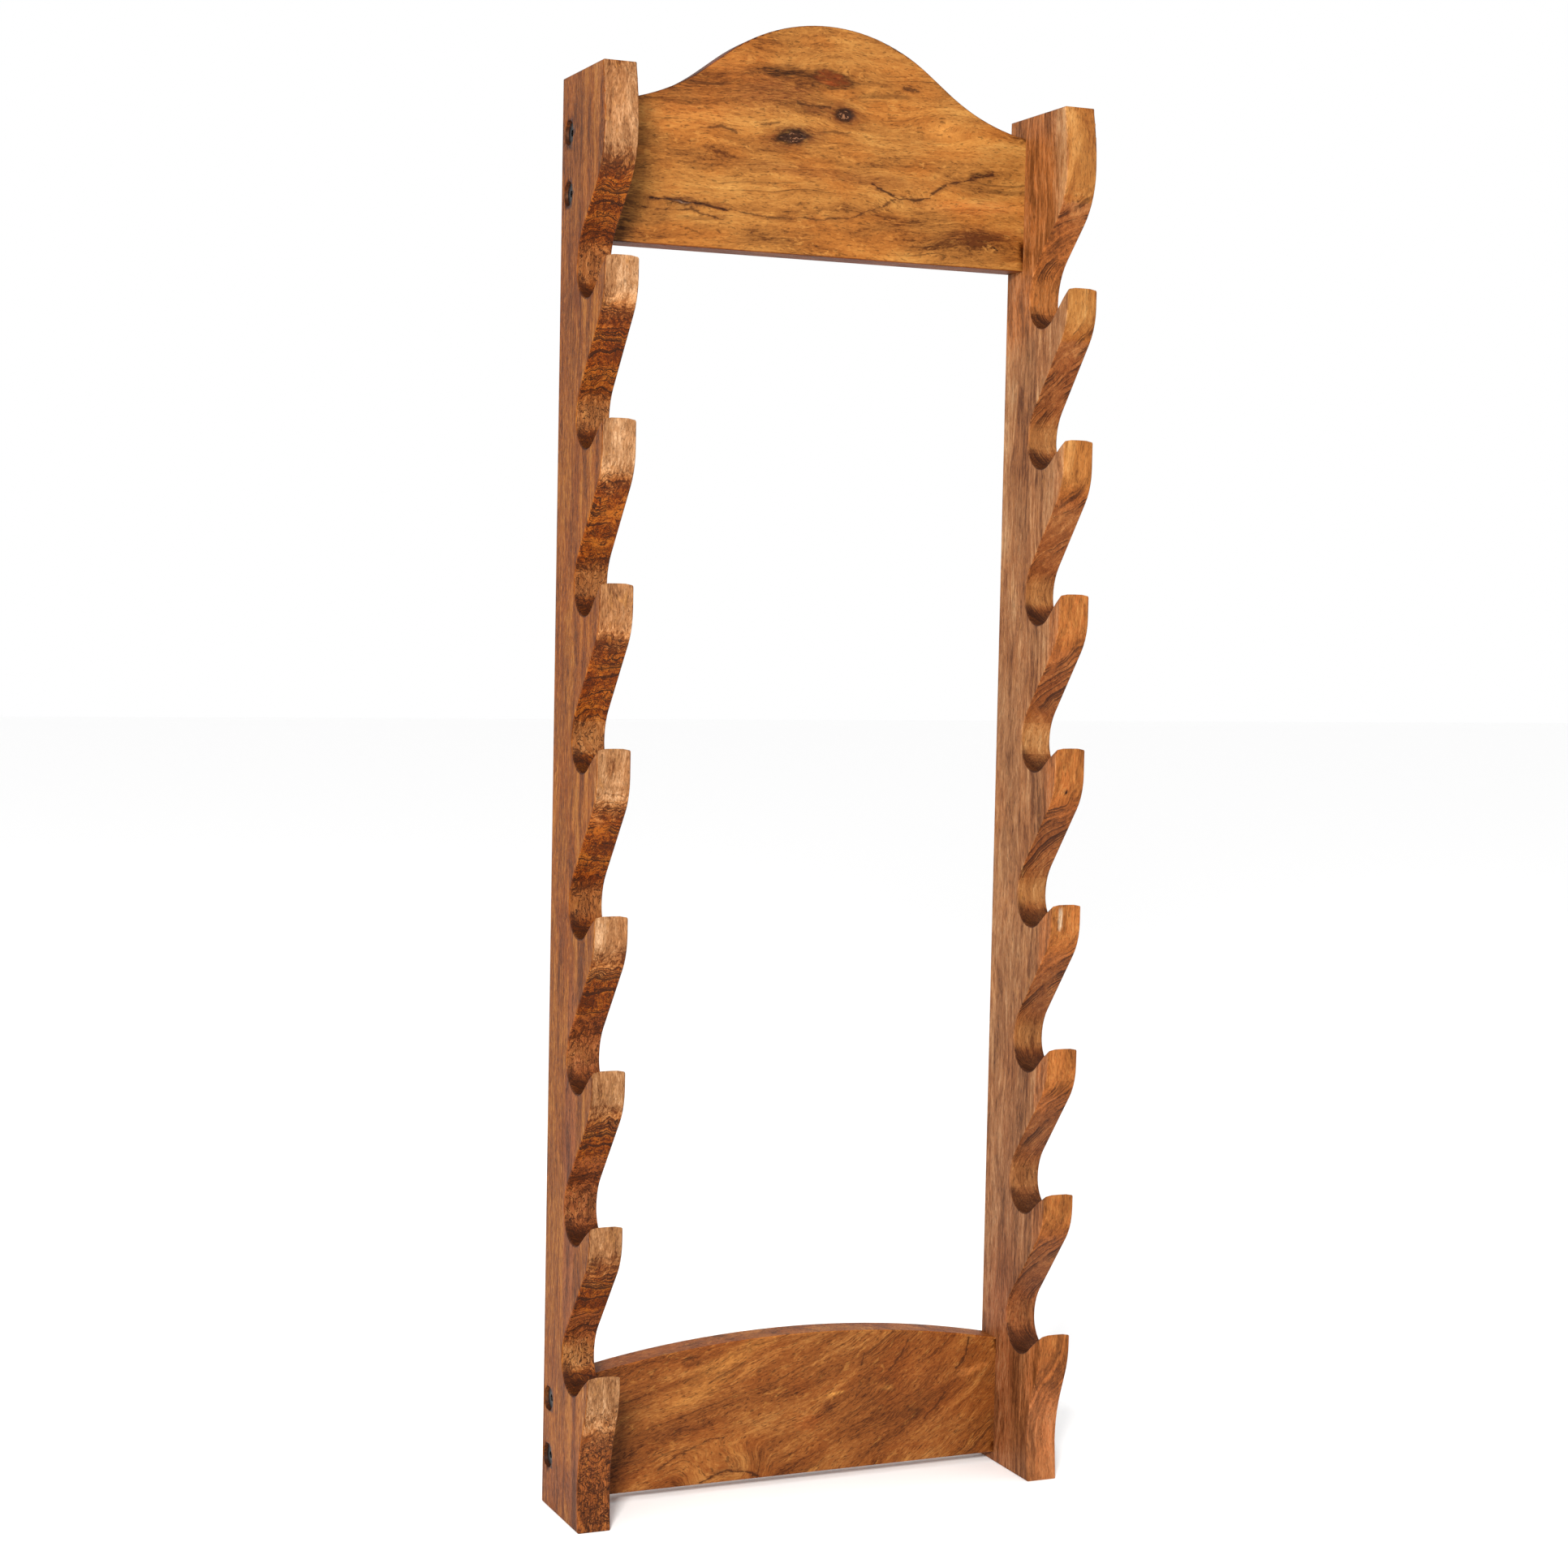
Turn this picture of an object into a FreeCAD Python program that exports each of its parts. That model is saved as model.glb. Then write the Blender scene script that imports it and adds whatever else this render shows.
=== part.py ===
import FreeCAD, Part
import math
import os
import Sketcher

# Eight-tier wall rack for swords and staffs, in millimetres.
#
# Two scalloped uprights stand side by side. A crest board with an arched top and a lower board
# are butted between them, flush with their backs. Big-headed machine bolts pass through each
# upright into threaded inserts in the boards' ends, and two keyhole plates let into the back of
# the crest board hang the rack on a wall.
#
# Frame: +X to the right of someone facing the rack, +Y into the wall, +Z up. The origin is the
# middle of the rack's footprint, on the level of its feet. Sketches measure their depth from the
# wall, with the front at negative Y, and every piece is then moved by half the rack's depth.

os.makedirs("parts", exist_ok=True)
doc = FreeCAD.newDocument("weapon_rack")

# ---------------------------------------------------------------- driving dimensions

DIMENSIONS = [
    # the whole rack
    ("rack_width", 325.0, "over the outer faces of the uprights"),
    ("rack_depth", 81.0, "from the wall to the lips' tips"),
    ("stock", 21.0, "thickness of all four planks"),
    ("edge_round", 1.2, "sanded edges of the planks"),
    # outline of an upright
    ("upright_height", 870.0, "feet to top"),
    ("crown_depth", 71.5, "depth at the top edge"),
    ("chest_depth", 76.5, "deepest part of the top block"),
    ("chest_height", 834.0, "where the crown begins to lean back"),
    ("step_height", 790.0, "where the blank steps out to full depth, inside the top notch"),
    ("ankle_height", 92.0, "where the foot begins to lean back"),
    ("ankle_radius", 62.0, "curve there"),
    ("ankle_lean", 21.0, "lean of the foot's front from vertical, in degrees"),
    ("instep_height", 25.0, "the foot's slimmest height"),
    ("instep_depth", 66.0, "depth there"),
    ("sole_depth", 68.0, "depth on the floor"),
    # the notches
    ("cradle_radius", 18.0, "curve under the weapon"),
    ("mouth_margin", 6.0, "how far a notch's cut runs past the front of the blank"),
    # crest board
    ("crest_bottom", 773.0, "height of its straight lower edge"),
    ("crest_shoulder", 857.0, "height of its top corners"),
    ("crest_apex", 914.0, "height of its middle"),
    ("crest_dome", 114.0, "radius of the curve over the middle"),
    ("crest_flare", 130.0, "radius of the hollow curve towards each upright"),
    ("crest_slope", 36.5, "slope between the two curves, in degrees"),
    ("crest_offset", 3.5, "how far right of the middle the curve over it is centred"),
    # lower board
    ("lower_bottom", 6.0, "height of its straight lower edge"),
    ("lower_shoulder", 82.0, "height of its top corners"),
    ("lower_apex", 96.5, "height of the middle of its arched edge"),
    # bolted joints
    ("crest_bolt_depth", 13.0, "crest bolts' distance from the wall"),
    ("crest_bolt_upper", 836.0, "height of the upper bolt at each end of the crest board"),
    ("crest_bolt_under", 800.0, "height of the bolt under it"),
    ("lower_bolt_depth", 11.0, "lower bolts' distance from the wall"),
    ("lower_bolt_upper", 67.5, "height of the upper bolt at each end of the lower board"),
    ("lower_bolt_under", 32.0, "height of the bolt under it"),
    ("recess_radius", 7.5, "round counterbore for a bolt head"),
    ("recess_depth", 4.0, "depth of the counterbore"),
    ("clearance_radius", 3.5, "hole for the shank"),
    ("head_radius", 7.1, "flat bolt head"),
    ("head_thickness", 2.0, "so the head lies as far again below the face"),
    ("head_bevel", 0.4, "turned edge of the head"),
    ("shank_radius", 3.0, "M6"),
    ("shank_length", 35.0, "under the head"),
    ("shank_bevel", 0.8, "chamfered tip"),
    ("socket_corner", 2.31, "corner radius of the 4 mm hexagon socket"),
    ("socket_depth", 2.6, "depth of the socket"),
    ("thread_pitch", 1.0, "M6 coarse"),
    ("thread_half_width", 0.45, "half the mouth of each thread groove"),
    ("thread_depth", 0.6, "depth of each thread groove"),
    ("thread_start", 17.5, "first thread groove, from under the head"),
    ("thread_grooves", 17.0, "number of grooves on a bolt"),
    ("insert_radius", 4.5, "over the insert's outer ridges"),
    ("insert_bore", 3.05, "over the bolt's thread"),
    ("insert_length", 13.0, "length of an insert"),
    ("insert_setback", 0.5, "how far it lies below the end of the board"),
    ("ridge_start", 1.5, "first outer groove of an insert"),
    ("ridge_pitch", 2.0, "distance between its outer grooves"),
    ("ridge_half_width", 0.8, "half the mouth of each groove"),
    ("ridge_depth", 0.7, "depth of each groove"),
    ("ridge_grooves", 6.0, "number of its outer grooves"),
    ("insert_hole_radius", 4.55, "hole for it in the board's end"),
    ("insert_hole_depth", 14.0, "depth of that hole"),
    ("tip_hole_depth", 22.0, "depth of the narrower hole for the bolt's tip"),
    # hanger plates
    ("hanger_spacing", 200.0, "centre to centre"),
    ("hanger_height", 815.0, "height of their centres"),
    ("plate_reach", 15.0, "from the plate's centre to the centre of each round end"),
    ("plate_radius", 7.5, "half its width, and its round ends"),
    ("plate_thickness", 2.0, "sheet steel"),
    ("seat_radius", 7.7, "round ends of the recess that takes it"),
    ("seat_depth", 2.2, "depth of that recess"),
    ("keyhole_radius", 4.5, "opening that passes a wall screw's head"),
    ("keyhole_drop", 5.0, "that opening's distance below the plate's centre"),
    ("keyslot_radius", 2.25, "slot that holds the wall screw's neck"),
    ("keyslot_rise", 6.5, "the slot's end, above the plate's centre"),
    ("pocket_radius", 5.5, "hollow in the wood behind the keyhole"),
    ("pocket_depth", 9.0, "its depth from the back of the board"),
    ("plate_screw_offset", 15.5, "screws' distance from the plate's centre"),
    ("plate_hole_radius", 2.0, "hole in the plate"),
    ("plate_hole_mouth", 3.7, "countersunk mouth of that hole"),
    ("plate_screw_head", 3.5, "radius of the screw's countersunk head"),
    ("plate_screw_radius", 1.7, "its shank"),
    ("plate_screw_length", 15.0, "overall"),
    ("plate_screw_point", 3.0, "length of its point"),
    ("pilot_radius", 1.75, "pilot hole in the wood"),
    ("pilot_depth", 16.5, "its depth from the back of the board"),
]

# Eight tiers, from the top. For each: height of the notch's floor, rise from it to the tip of the
# lip in front, wood left behind the notch, lean of the sweep above it from vertical in degrees,
# radius at the back of the notch, radius of the brow above it, and depth of the face above that.
TIER_COLUMNS = ("floor", "lip", "spine", "sweep", "throat", "brow", "face")
TIERS = [
    (735.0, 22.5, 31.5, 46.0, 36.0, 46.0, 76.5),
    (646.5, 17.0, 34.0, 39.0, 30.0, 35.0, 81.0),
    (548.0, 19.5, 35.0, 39.0, 30.0, 35.0, 81.0),
    (455.0, 16.0, 35.0, 39.0, 30.0, 35.0, 81.0),
    (356.0, 16.5, 35.0, 39.0, 30.0, 35.0, 81.0),
    (263.0, 18.0, 35.0, 39.0, 30.0, 35.0, 81.0),
    (171.5, 16.5, 34.5, 39.0, 30.0, 35.0, 81.0),
    (80.5, 17.5, 34.5, 39.0, 30.0, 35.0, 81.0),
]


class Size:
    """A length or angle that knows its value and the expression of sheet cells that drives it."""

    def __init__(self, value, text):
        self.value = value
        self.text = text

    def combined(self, other, sign, value):
        return Size(value, "(%s %s %s)" % (self.text, sign, as_size(other).text))

    def __add__(self, other):
        return self.combined(other, "+", self.value + as_size(other).value)

    def __sub__(self, other):
        return self.combined(other, "-", self.value - as_size(other).value)

    def __mul__(self, other):
        return self.combined(other, "*", self.value * as_size(other).value)

    def __truediv__(self, other):
        return self.combined(other, "/", self.value / as_size(other).value)

    def __neg__(self):
        return Size(-self.value, "(0 - %s)" % self.text)


def as_size(number):
    return number if isinstance(number, Size) else Size(float(number), repr(number))


def fill_sheet():
    """Writes every driving dimension to the sheet and returns them by name."""
    sheet = doc.addObject("Spreadsheet::Sheet", "Sizes")
    rows = list(DIMENSIONS)
    for number, tier in enumerate(TIERS, 1):
        for column, value in zip(TIER_COLUMNS, tier):
            rows.append(("%s_%d" % (column, number), value, "%s of tier %d" % (column, number)))
    sizes = {}
    for row, (alias, value, note) in enumerate(rows, 1):
        sheet.set("A%d" % row, note)
        sheet.set("B%d" % row, repr(value))
        sheet.setAlias("B%d" % row, alias)
        sizes[alias] = Size(value, "Sizes." + alias)
    doc.recompute()
    return sizes


size = fill_sheet()
ZERO = as_size(0)

# ---------------------------------------------------------------- sketches

START, END, CENTRE = 1, 2, 3
ORIGIN = (-1, 1)
X_AXIS, Y_AXIS = -1, -2
Vector = FreeCAD.Vector
UP = Vector(0, 0, 1)


def place_at(x, y):
    return Vector(as_size(x).value, as_size(y).value, 0)


def origin_feature(body, role):
    for feature in body.Origin.OriginFeatures:
        if feature.Role == role:
            return feature
    raise ValueError("the body has no " + role)


def new_sketch(body, name, plane, shift=(ZERO, ZERO, ZERO)):
    """A sketch on one of the body's own planes, shifted along its own axes by three sizes."""
    sketch = body.newObject("Sketcher::SketchObject", name)
    sketch.AttachmentSupport = [(origin_feature(body, plane), "")]
    sketch.MapMode = "FlatFace"
    for axis, distance in zip("xyz", shift):
        if distance is not ZERO:
            sketch.setExpression("AttachmentOffset.Base." + axis, distance.text)
    return sketch


def line(sketch, first, last):
    return sketch.addGeometry(Part.LineSegment(first, last), False)


def arc(sketch, centre, radius, first_angle, last_angle):
    """An arc drawn anticlockwise between two angles in degrees."""
    ends = math.radians(first_angle), math.radians(last_angle)
    return sketch.addGeometry(Part.ArcOfCircle(Part.Circle(centre, UP, radius), *ends), False)


def join(sketch, kind, first, second):
    """Joins two ends, each a geometry's number and which of its points."""
    sketch.addConstraint(Sketcher.Constraint(kind, *first, *second))


def level(sketch, *lines):
    for number in lines:
        sketch.addConstraint(Sketcher.Constraint("Horizontal", number))


def plumb(sketch, *lines):
    for number in lines:
        sketch.addConstraint(Sketcher.Constraint("Vertical", number))


def bind(sketch, kind, where, wanted, unit=""):
    """Adds a dimension to a sketch and ties it to the cells that give its size."""
    value = math.radians(wanted.value) if kind == "Angle" else wanted.value
    index = sketch.addConstraint(Sketcher.Constraint(kind, *where, value))
    name = "size_%d" % index
    sketch.renameConstraint(index, name)
    sketch.setExpression("Constraints." + name, wanted.text + unit)


def bind_point(sketch, where, x=None, y=None):
    """Holds a point of the sketch at x, at y or at both, measured from the sketch's origin."""
    for kind, axis, wanted in (("DistanceX", Y_AXIS, x), ("DistanceY", X_AXIS, y)):
        if wanted is None:
            continue
        if wanted.value == 0:
            sketch.addConstraint(Sketcher.Constraint("PointOnObject", *where, axis))
        elif wanted.value > 0:
            bind(sketch, kind, (*ORIGIN, *where), wanted)
        else:
            bind(sketch, kind, (*where, *ORIGIN), -wanted)


def circle(sketch, x, y, radius):
    number = sketch.addGeometry(Part.Circle(place_at(x, y), UP, radius.value), False)
    bind_point(sketch, (number, CENTRE), x, y)
    bind(sketch, "Radius", (number,), radius)


def upright_slot(sketch, low, high, radius):
    """A slot with round ends, standing on the sketch's Y axis between two end centres."""
    side = radius.value
    bottom = arc(sketch, place_at(0, low), side, 180, 360)
    right = line(sketch, place_at(side, low), place_at(side, high))
    top = arc(sketch, place_at(0, high), side, 0, 180)
    left = line(sketch, place_at(-side, high), place_at(-side, low))
    join(sketch, "Tangent", (bottom, END), (right, START))
    join(sketch, "Tangent", (right, END), (top, START))
    join(sketch, "Tangent", (top, END), (left, START))
    join(sketch, "Tangent", (left, END), (bottom, START))
    bind_point(sketch, (bottom, CENTRE), ZERO, low)
    bind_point(sketch, (top, CENTRE), ZERO, high)
    bind(sketch, "Radius", (bottom,), radius)


def polygon(sketch, corners):
    """A closed outline of straight lines, with each corner held by two sizes."""
    places = [place_at(x, y) for x, y in corners]
    count = len(places)
    sides = [line(sketch, places[i], places[(i + 1) % count]) for i in range(count)]
    for i, side in enumerate(sides):
        join(sketch, "Coincident", (side, END), (sides[(i + 1) % count], START))
        bind_point(sketch, (side, START), *corners[i])


# ---------------------------------------------------------------- features

SUB_PARTS = []


def new_body(name):
    body = doc.addObject("PartDesign::Body", name)
    body.Label = name
    SUB_PARTS.append(body)
    return body


def pad(body, sketch, length):
    feature = body.newObject("PartDesign::Pad", sketch.Name + "_pad")
    feature.Profile = sketch
    feature.setExpression("Length", length.text)
    doc.recompute()
    return feature


def pocket(body, sketch, depth, from_behind=False):
    """Cuts a sketch into the body to a depth, and makes sure that wood or metal went."""
    before = body.Shape.Volume
    feature = body.newObject("PartDesign::Pocket", sketch.Name + "_pocket")
    feature.Profile = sketch
    feature.Reversed = from_behind
    feature.setExpression("Length", depth.text)
    doc.recompute()
    if body.Shape.Volume >= before:
        raise RuntimeError(feature.Name + " cuts nothing")
    return feature


def turned(body, sketch, kind):
    """Turns a sketch right round the body's own X axis."""
    feature = body.newObject("PartDesign::" + kind, sketch.Name + "_turned")
    feature.Profile = sketch
    feature.ReferenceAxis = (origin_feature(body, "X_Axis"), [""])
    feature.Angle = 360.0
    doc.recompute()
    return feature


def repeated(body, feature, spacing, count):
    """Repeats a feature along the body's own X axis."""
    pattern = body.newObject("PartDesign::LinearPattern", feature.Name + "_row")
    pattern.Originals = [feature]
    pattern.Direction = (origin_feature(body, "X_Axis"), [""])
    pattern.setExpression("Length", (spacing * (count - 1)).text)
    pattern.setExpression("Occurrences", count.text)
    body.Tip = pattern
    doc.recompute()
    return pattern


def in_plane(edge, axis, value):
    """Whether a whole edge lies in the plane where one coordinate has that value."""
    samples = [edge.valueAt(parameter) for parameter in edge.ParameterRange]
    samples.append(edge.CenterOfMass)
    return all(abs(getattr(sample, axis) - value) < 1e-4 for sample in samples)


def is_round(edge):
    """Whether an edge is a full circle, such as the mouth of a hole."""
    return edge.isClosed() and edge.Curve.TypeId == "Part::GeomCircle"


def rounded(body, wanted):
    """Rounds the edges for which wanted(edge) holds, as sandpaper leaves a plank's edges."""
    base = body.Tip
    names = ["Edge%d" % i for i, edge in enumerate(base.Shape.Edges, 1) if wanted(edge)]
    feature = body.newObject("PartDesign::Fillet", body.Name + "_rounding")
    feature.Base = (base, names)
    feature.setExpression("Radius", size["edge_round"].text)
    doc.recompute()
    return feature


def place(body, x=ZERO, y=ZERO, z=ZERO, turn=0.0):
    """Moves a finished piece, with y measured from the wall, and turns it about its Z axis."""
    body.Placement = FreeCAD.Placement(Vector(), FreeCAD.Rotation(UP, turn))
    body.setExpression("Placement.Base.x", x.text)
    body.setExpression("Placement.Base.y", (size["rack_depth"] / 2 + y).text)
    body.setExpression("Placement.Base.z", z.text)


# ---------------------------------------------------------------- uprights

def draw_blank(sketch):
    """Side outline of an upright before its notches are cut."""
    height = size["upright_height"]
    chest_x, chest_y = -size["chest_depth"], size["chest_height"]
    front, step_y = -size["rack_depth"], size["step_height"]
    ankle_y, ankle_radius = size["ankle_height"], size["ankle_radius"]
    instep_x, instep_y = -size["instep_depth"], size["instep_height"]
    lean = size["ankle_lean"].value
    sine, cosine = math.sin(math.radians(lean)), math.cos(math.radians(lean))

    crown_drop = height.value - chest_y.value
    crown_set = size["chest_depth"].value - size["crown_depth"].value
    crown_radius = (crown_drop ** 2 + crown_set ** 2) / (2 * crown_set)
    crown_turn = math.degrees(math.asin(crown_drop / crown_radius))
    shin_start = place_at(front.value + ankle_radius.value * (1 - cosine),
                          ankle_y.value - ankle_radius.value * sine)
    # the heel's radius follows from the leaning line's direction and the instep's place
    across = instep_x.value - shin_start.x
    down = shin_start.y - instep_y.value
    heel_radius = (across * cosine - down * sine) / (cosine - 1)
    shin_end = place_at(instep_x.value - heel_radius * (1 - cosine),
                        instep_y.value + heel_radius * sine)

    back = line(sketch, place_at(0, 0), place_at(0, height))
    top = line(sketch, place_at(0, height), place_at(-size["crown_depth"], height))
    crown = arc(sketch, place_at(chest_x.value + crown_radius, chest_y), crown_radius,
                180 - crown_turn, 180)
    chest = line(sketch, place_at(chest_x, chest_y), place_at(chest_x, step_y))
    step = line(sketch, place_at(chest_x, step_y), place_at(front, step_y))
    face = line(sketch, place_at(front, step_y), place_at(front, ankle_y))
    ankle = arc(sketch, place_at(front + ankle_radius, ankle_y), ankle_radius.value,
                180, 180 + lean)
    shin = line(sketch, shin_start, shin_end)
    heel = arc(sketch, place_at(instep_x.value - heel_radius, instep_y), heel_radius, 0, lean)
    toe = line(sketch, place_at(instep_x, instep_y), place_at(-size["sole_depth"], 0))
    sole = line(sketch, place_at(-size["sole_depth"], 0), place_at(0, 0))

    join(sketch, "Coincident", (back, END), (top, START))
    join(sketch, "Coincident", (top, END), (crown, START))
    join(sketch, "Tangent", (crown, END), (chest, START))
    join(sketch, "Coincident", (chest, END), (step, START))
    join(sketch, "Coincident", (step, END), (face, START))
    join(sketch, "Tangent", (face, END), (ankle, START))
    join(sketch, "Tangent", (ankle, END), (shin, START))
    join(sketch, "Tangent", (shin, END), (heel, END))
    join(sketch, "Coincident", (heel, START), (toe, START))
    join(sketch, "Coincident", (toe, END), (sole, START))
    join(sketch, "Coincident", (sole, END), (back, START))
    plumb(sketch, back, chest, face)
    level(sketch, top, step, sole)
    # the heel's curve is plumb at the instep
    join(sketch, "Horizontal", (heel, CENTRE), (heel, START))
    bind_point(sketch, (back, START), ZERO, ZERO)
    bind_point(sketch, (top, START), None, height)
    bind_point(sketch, (top, END), -size["crown_depth"])
    bind_point(sketch, (chest, START), chest_x, chest_y)
    bind_point(sketch, (face, START), front, step_y)
    bind_point(sketch, (face, END), None, ankle_y)
    bind(sketch, "Radius", (ankle,), ankle_radius)
    bind(sketch, "Angle", (shin,), size["ankle_lean"] - 90, " * 1 deg")
    bind_point(sketch, (toe, START), instep_x, instep_y)
    bind_point(sketch, (toe, END), -size["sole_depth"])


def draw_notch(sketch, number):
    """One notch: down from the lip's tip, round the cradle, up the throat and sweep, to the brow."""
    tier = {column: size["%s_%d" % (column, number)] for column in TIER_COLUMNS}
    radius = size["cradle_radius"]
    front = -size["rack_depth"]
    mouth_x = front - size["mouth_margin"]
    tip_y = tier["floor"] + tier["lip"]
    cradle_x = -(tier["spine"] + radius)
    cradle_y = tier["floor"] + radius
    face_x = -tier["face"]

    centre = place_at(cradle_x, cradle_y)
    from_tip = centre - place_at(front, tip_y)
    fall = math.asin(radius.value / from_tip.Length) - math.atan2(from_tip.y, from_tip.x)
    ramp_end = centre - Vector(math.sin(fall), math.cos(fall), 0) * radius.value
    throat, brow = tier["throat"].value, tier["brow"].value
    sweep = math.radians(tier["sweep"].value)
    throat_centre = place_at(-tier["spine"].value - throat, cradle_y)
    brow_x = face_x.value + brow
    rise_start = throat_centre + Vector(math.cos(sweep), math.sin(sweep), 0) * throat
    rise_end_x = brow_x - brow * math.cos(sweep)
    rise_end = place_at(rise_end_x,
                        rise_start.y + (rise_start.x - rise_end_x) / math.tan(sweep))
    brow_y = rise_end.y + brow * math.sin(sweep)

    ramp = line(sketch, place_at(front, tip_y), ramp_end)
    cradle = arc(sketch, centre, radius.value, 270 - math.degrees(fall), 360)
    back = arc(sketch, throat_centre, throat, 0, tier["sweep"].value)
    rise = line(sketch, rise_start, rise_end)
    over = arc(sketch, place_at(brow_x, brow_y), brow, 180, 180 + tier["sweep"].value)
    above = line(sketch, place_at(face_x, brow_y), place_at(mouth_x, brow_y))
    mouth = line(sketch, place_at(mouth_x, brow_y), place_at(mouth_x, tip_y))
    below = line(sketch, place_at(mouth_x, tip_y), place_at(front, tip_y))

    join(sketch, "Tangent", (ramp, END), (cradle, START))
    join(sketch, "Tangent", (cradle, END), (back, START))
    join(sketch, "Tangent", (back, END), (rise, START))
    join(sketch, "Tangent", (rise, END), (over, END))
    join(sketch, "Perpendicular", (over, START), (above, START))
    join(sketch, "Coincident", (above, END), (mouth, START))
    join(sketch, "Coincident", (mouth, END), (below, START))
    join(sketch, "Coincident", (below, END), (ramp, START))
    level(sketch, above, below)
    plumb(sketch, mouth)
    join(sketch, "Horizontal", (cradle, CENTRE), (back, CENTRE))
    bind(sketch, "Radius", (cradle,), radius)
    bind(sketch, "Radius", (back,), tier["throat"])
    bind(sketch, "Radius", (over,), tier["brow"])
    bind(sketch, "Angle", (rise,), tier["sweep"] + 90, " * 1 deg")
    bind_point(sketch, (cradle, CENTRE), cradle_x, cradle_y)
    bind_point(sketch, (ramp, START), front, tip_y)
    bind_point(sketch, (over, START), face_x)
    bind_point(sketch, (mouth, START), mouth_x)


def draw_bolt_circles(sketch, board, radius):
    """One circle for each of the two bolts that hold a board's end."""
    for level_name in ("upper", "under"):
        height = size["%s_bolt_%s" % (board, level_name)]
        circle(sketch, -size[board + "_bolt_depth"], height, radius)


def build_upright(side):
    """A scalloped plank. Its bolt heads' counterbores are on the rack's outer side."""
    stock = size["stock"]
    on_left = side == "left"
    body = new_body(side + "_upright")
    blank = new_sketch(body, side + "_blank", "YZ_Plane")
    draw_blank(blank)
    pad(body, blank, stock)
    for number in range(1, len(TIERS) + 1):
        notch = new_sketch(body, "%s_notch_%d" % (side, number), "YZ_Plane")
        draw_notch(notch, number)
        pocket(body, notch, stock, from_behind=True)
    outer = (ZERO, ZERO, ZERO if on_left else stock)
    for board in ("crest", "lower"):
        for name, radius, depth in (("clearance", size["clearance_radius"], stock),
                                    ("recess", size["recess_radius"], size["recess_depth"])):
            holes = new_sketch(body, "%s_%s_%s" % (side, board, name), "YZ_Plane", outer)
            draw_bolt_circles(holes, board, radius)
            pocket(body, holes, depth, from_behind=on_left)

    def is_outline(edge):
        return not is_round(edge) and (in_plane(edge, "x", 0) or in_plane(edge, "x", stock.value))

    rounded(body, is_outline)
    half = size["rack_width"] / 2
    place(body, -half if on_left else half - stock)
    return body


# ---------------------------------------------------------------- boards

def half_span():
    return size["rack_width"] / 2 - size["stock"]


def draw_crest(sketch):
    """Front outline of the crest board: a dome between two hollow flares, over a straight edge."""
    half = half_span()
    bottom, shoulder, apex = size["crest_bottom"], size["crest_shoulder"], size["crest_apex"]
    dome, flare, offset = size["crest_dome"], size["crest_flare"], size["crest_offset"]
    slope = size["crest_slope"].value
    sine, cosine = math.sin(math.radians(slope)), math.cos(math.radians(slope))
    dome_end = place_at(0, apex - dome) + Vector(sine, cosine, 0) * dome.value

    def flank(reach):
        """The slope's lower end, and the flare's centre and angles, with the dome at x = 0."""
        corner = place_at(reach, shoulder)
        # the flare's centre lies a flare radius off the sloping line and off the corner
        level_line = dome_end + Vector(sine, cosine, 0) * flare.value
        gap = level_line - corner
        along = Vector(cosine, -sine, 0)
        middle = -gap.dot(along)
        travel = middle - math.sqrt(middle ** 2 - gap.dot(gap) + flare.value ** 2)
        centre = level_line + along * travel
        line_end = dome_end + along * travel
        turns = [math.degrees(math.atan2(place.y - centre.y, place.x - centre.x)) % 360
                 for place in (line_end, corner)]
        return line_end, centre, turns

    def to_right(place):
        return Vector(offset.value + place.x, place.y, 0)

    def to_left(place):
        return Vector(offset.value - place.x, place.y, 0)

    base = line(sketch, place_at(-half, bottom), place_at(half, bottom))
    right_end = line(sketch, place_at(half, bottom), place_at(half, shoulder))
    line_end, centre, (first, last) = flank(half - offset)
    right_flare = arc(sketch, to_right(centre), flare.value, first, last)
    right_slope = line(sketch, to_right(line_end), to_right(dome_end))
    over = arc(sketch, place_at(offset, apex - dome), dome.value, 90 - slope, 90 + slope)
    line_end, centre, (first, last) = flank(half + offset)
    left_slope = line(sketch, to_left(dome_end), to_left(line_end))
    left_flare = arc(sketch, to_left(centre), flare.value, 540 - last, 540 - first)
    left_end = line(sketch, place_at(-half, shoulder), place_at(-half, bottom))

    join(sketch, "Coincident", (base, END), (right_end, START))
    join(sketch, "Coincident", (right_end, END), (right_flare, END))
    join(sketch, "Tangent", (right_flare, START), (right_slope, START))
    join(sketch, "Tangent", (right_slope, END), (over, START))
    join(sketch, "Tangent", (over, END), (left_slope, START))
    join(sketch, "Tangent", (left_slope, END), (left_flare, END))
    join(sketch, "Coincident", (left_flare, START), (left_end, START))
    join(sketch, "Coincident", (left_end, END), (base, START))
    level(sketch, base)
    plumb(sketch, right_end, left_end)
    bind_point(sketch, (base, START), -half, bottom)
    bind_point(sketch, (base, END), half)
    bind_point(sketch, (right_end, END), None, shoulder)
    bind_point(sketch, (left_end, START), None, shoulder)
    bind_point(sketch, (over, CENTRE), offset, apex - dome)
    bind(sketch, "Radius", (over,), dome)
    for side_flare in (right_flare, left_flare):
        bind(sketch, "Radius", (side_flare,), flare)
    bind(sketch, "Angle", (right_slope,), as_size(180) - size["crest_slope"], " * 1 deg")
    bind(sketch, "Angle", (left_slope,), size["crest_slope"] - 180, " * 1 deg")


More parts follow.
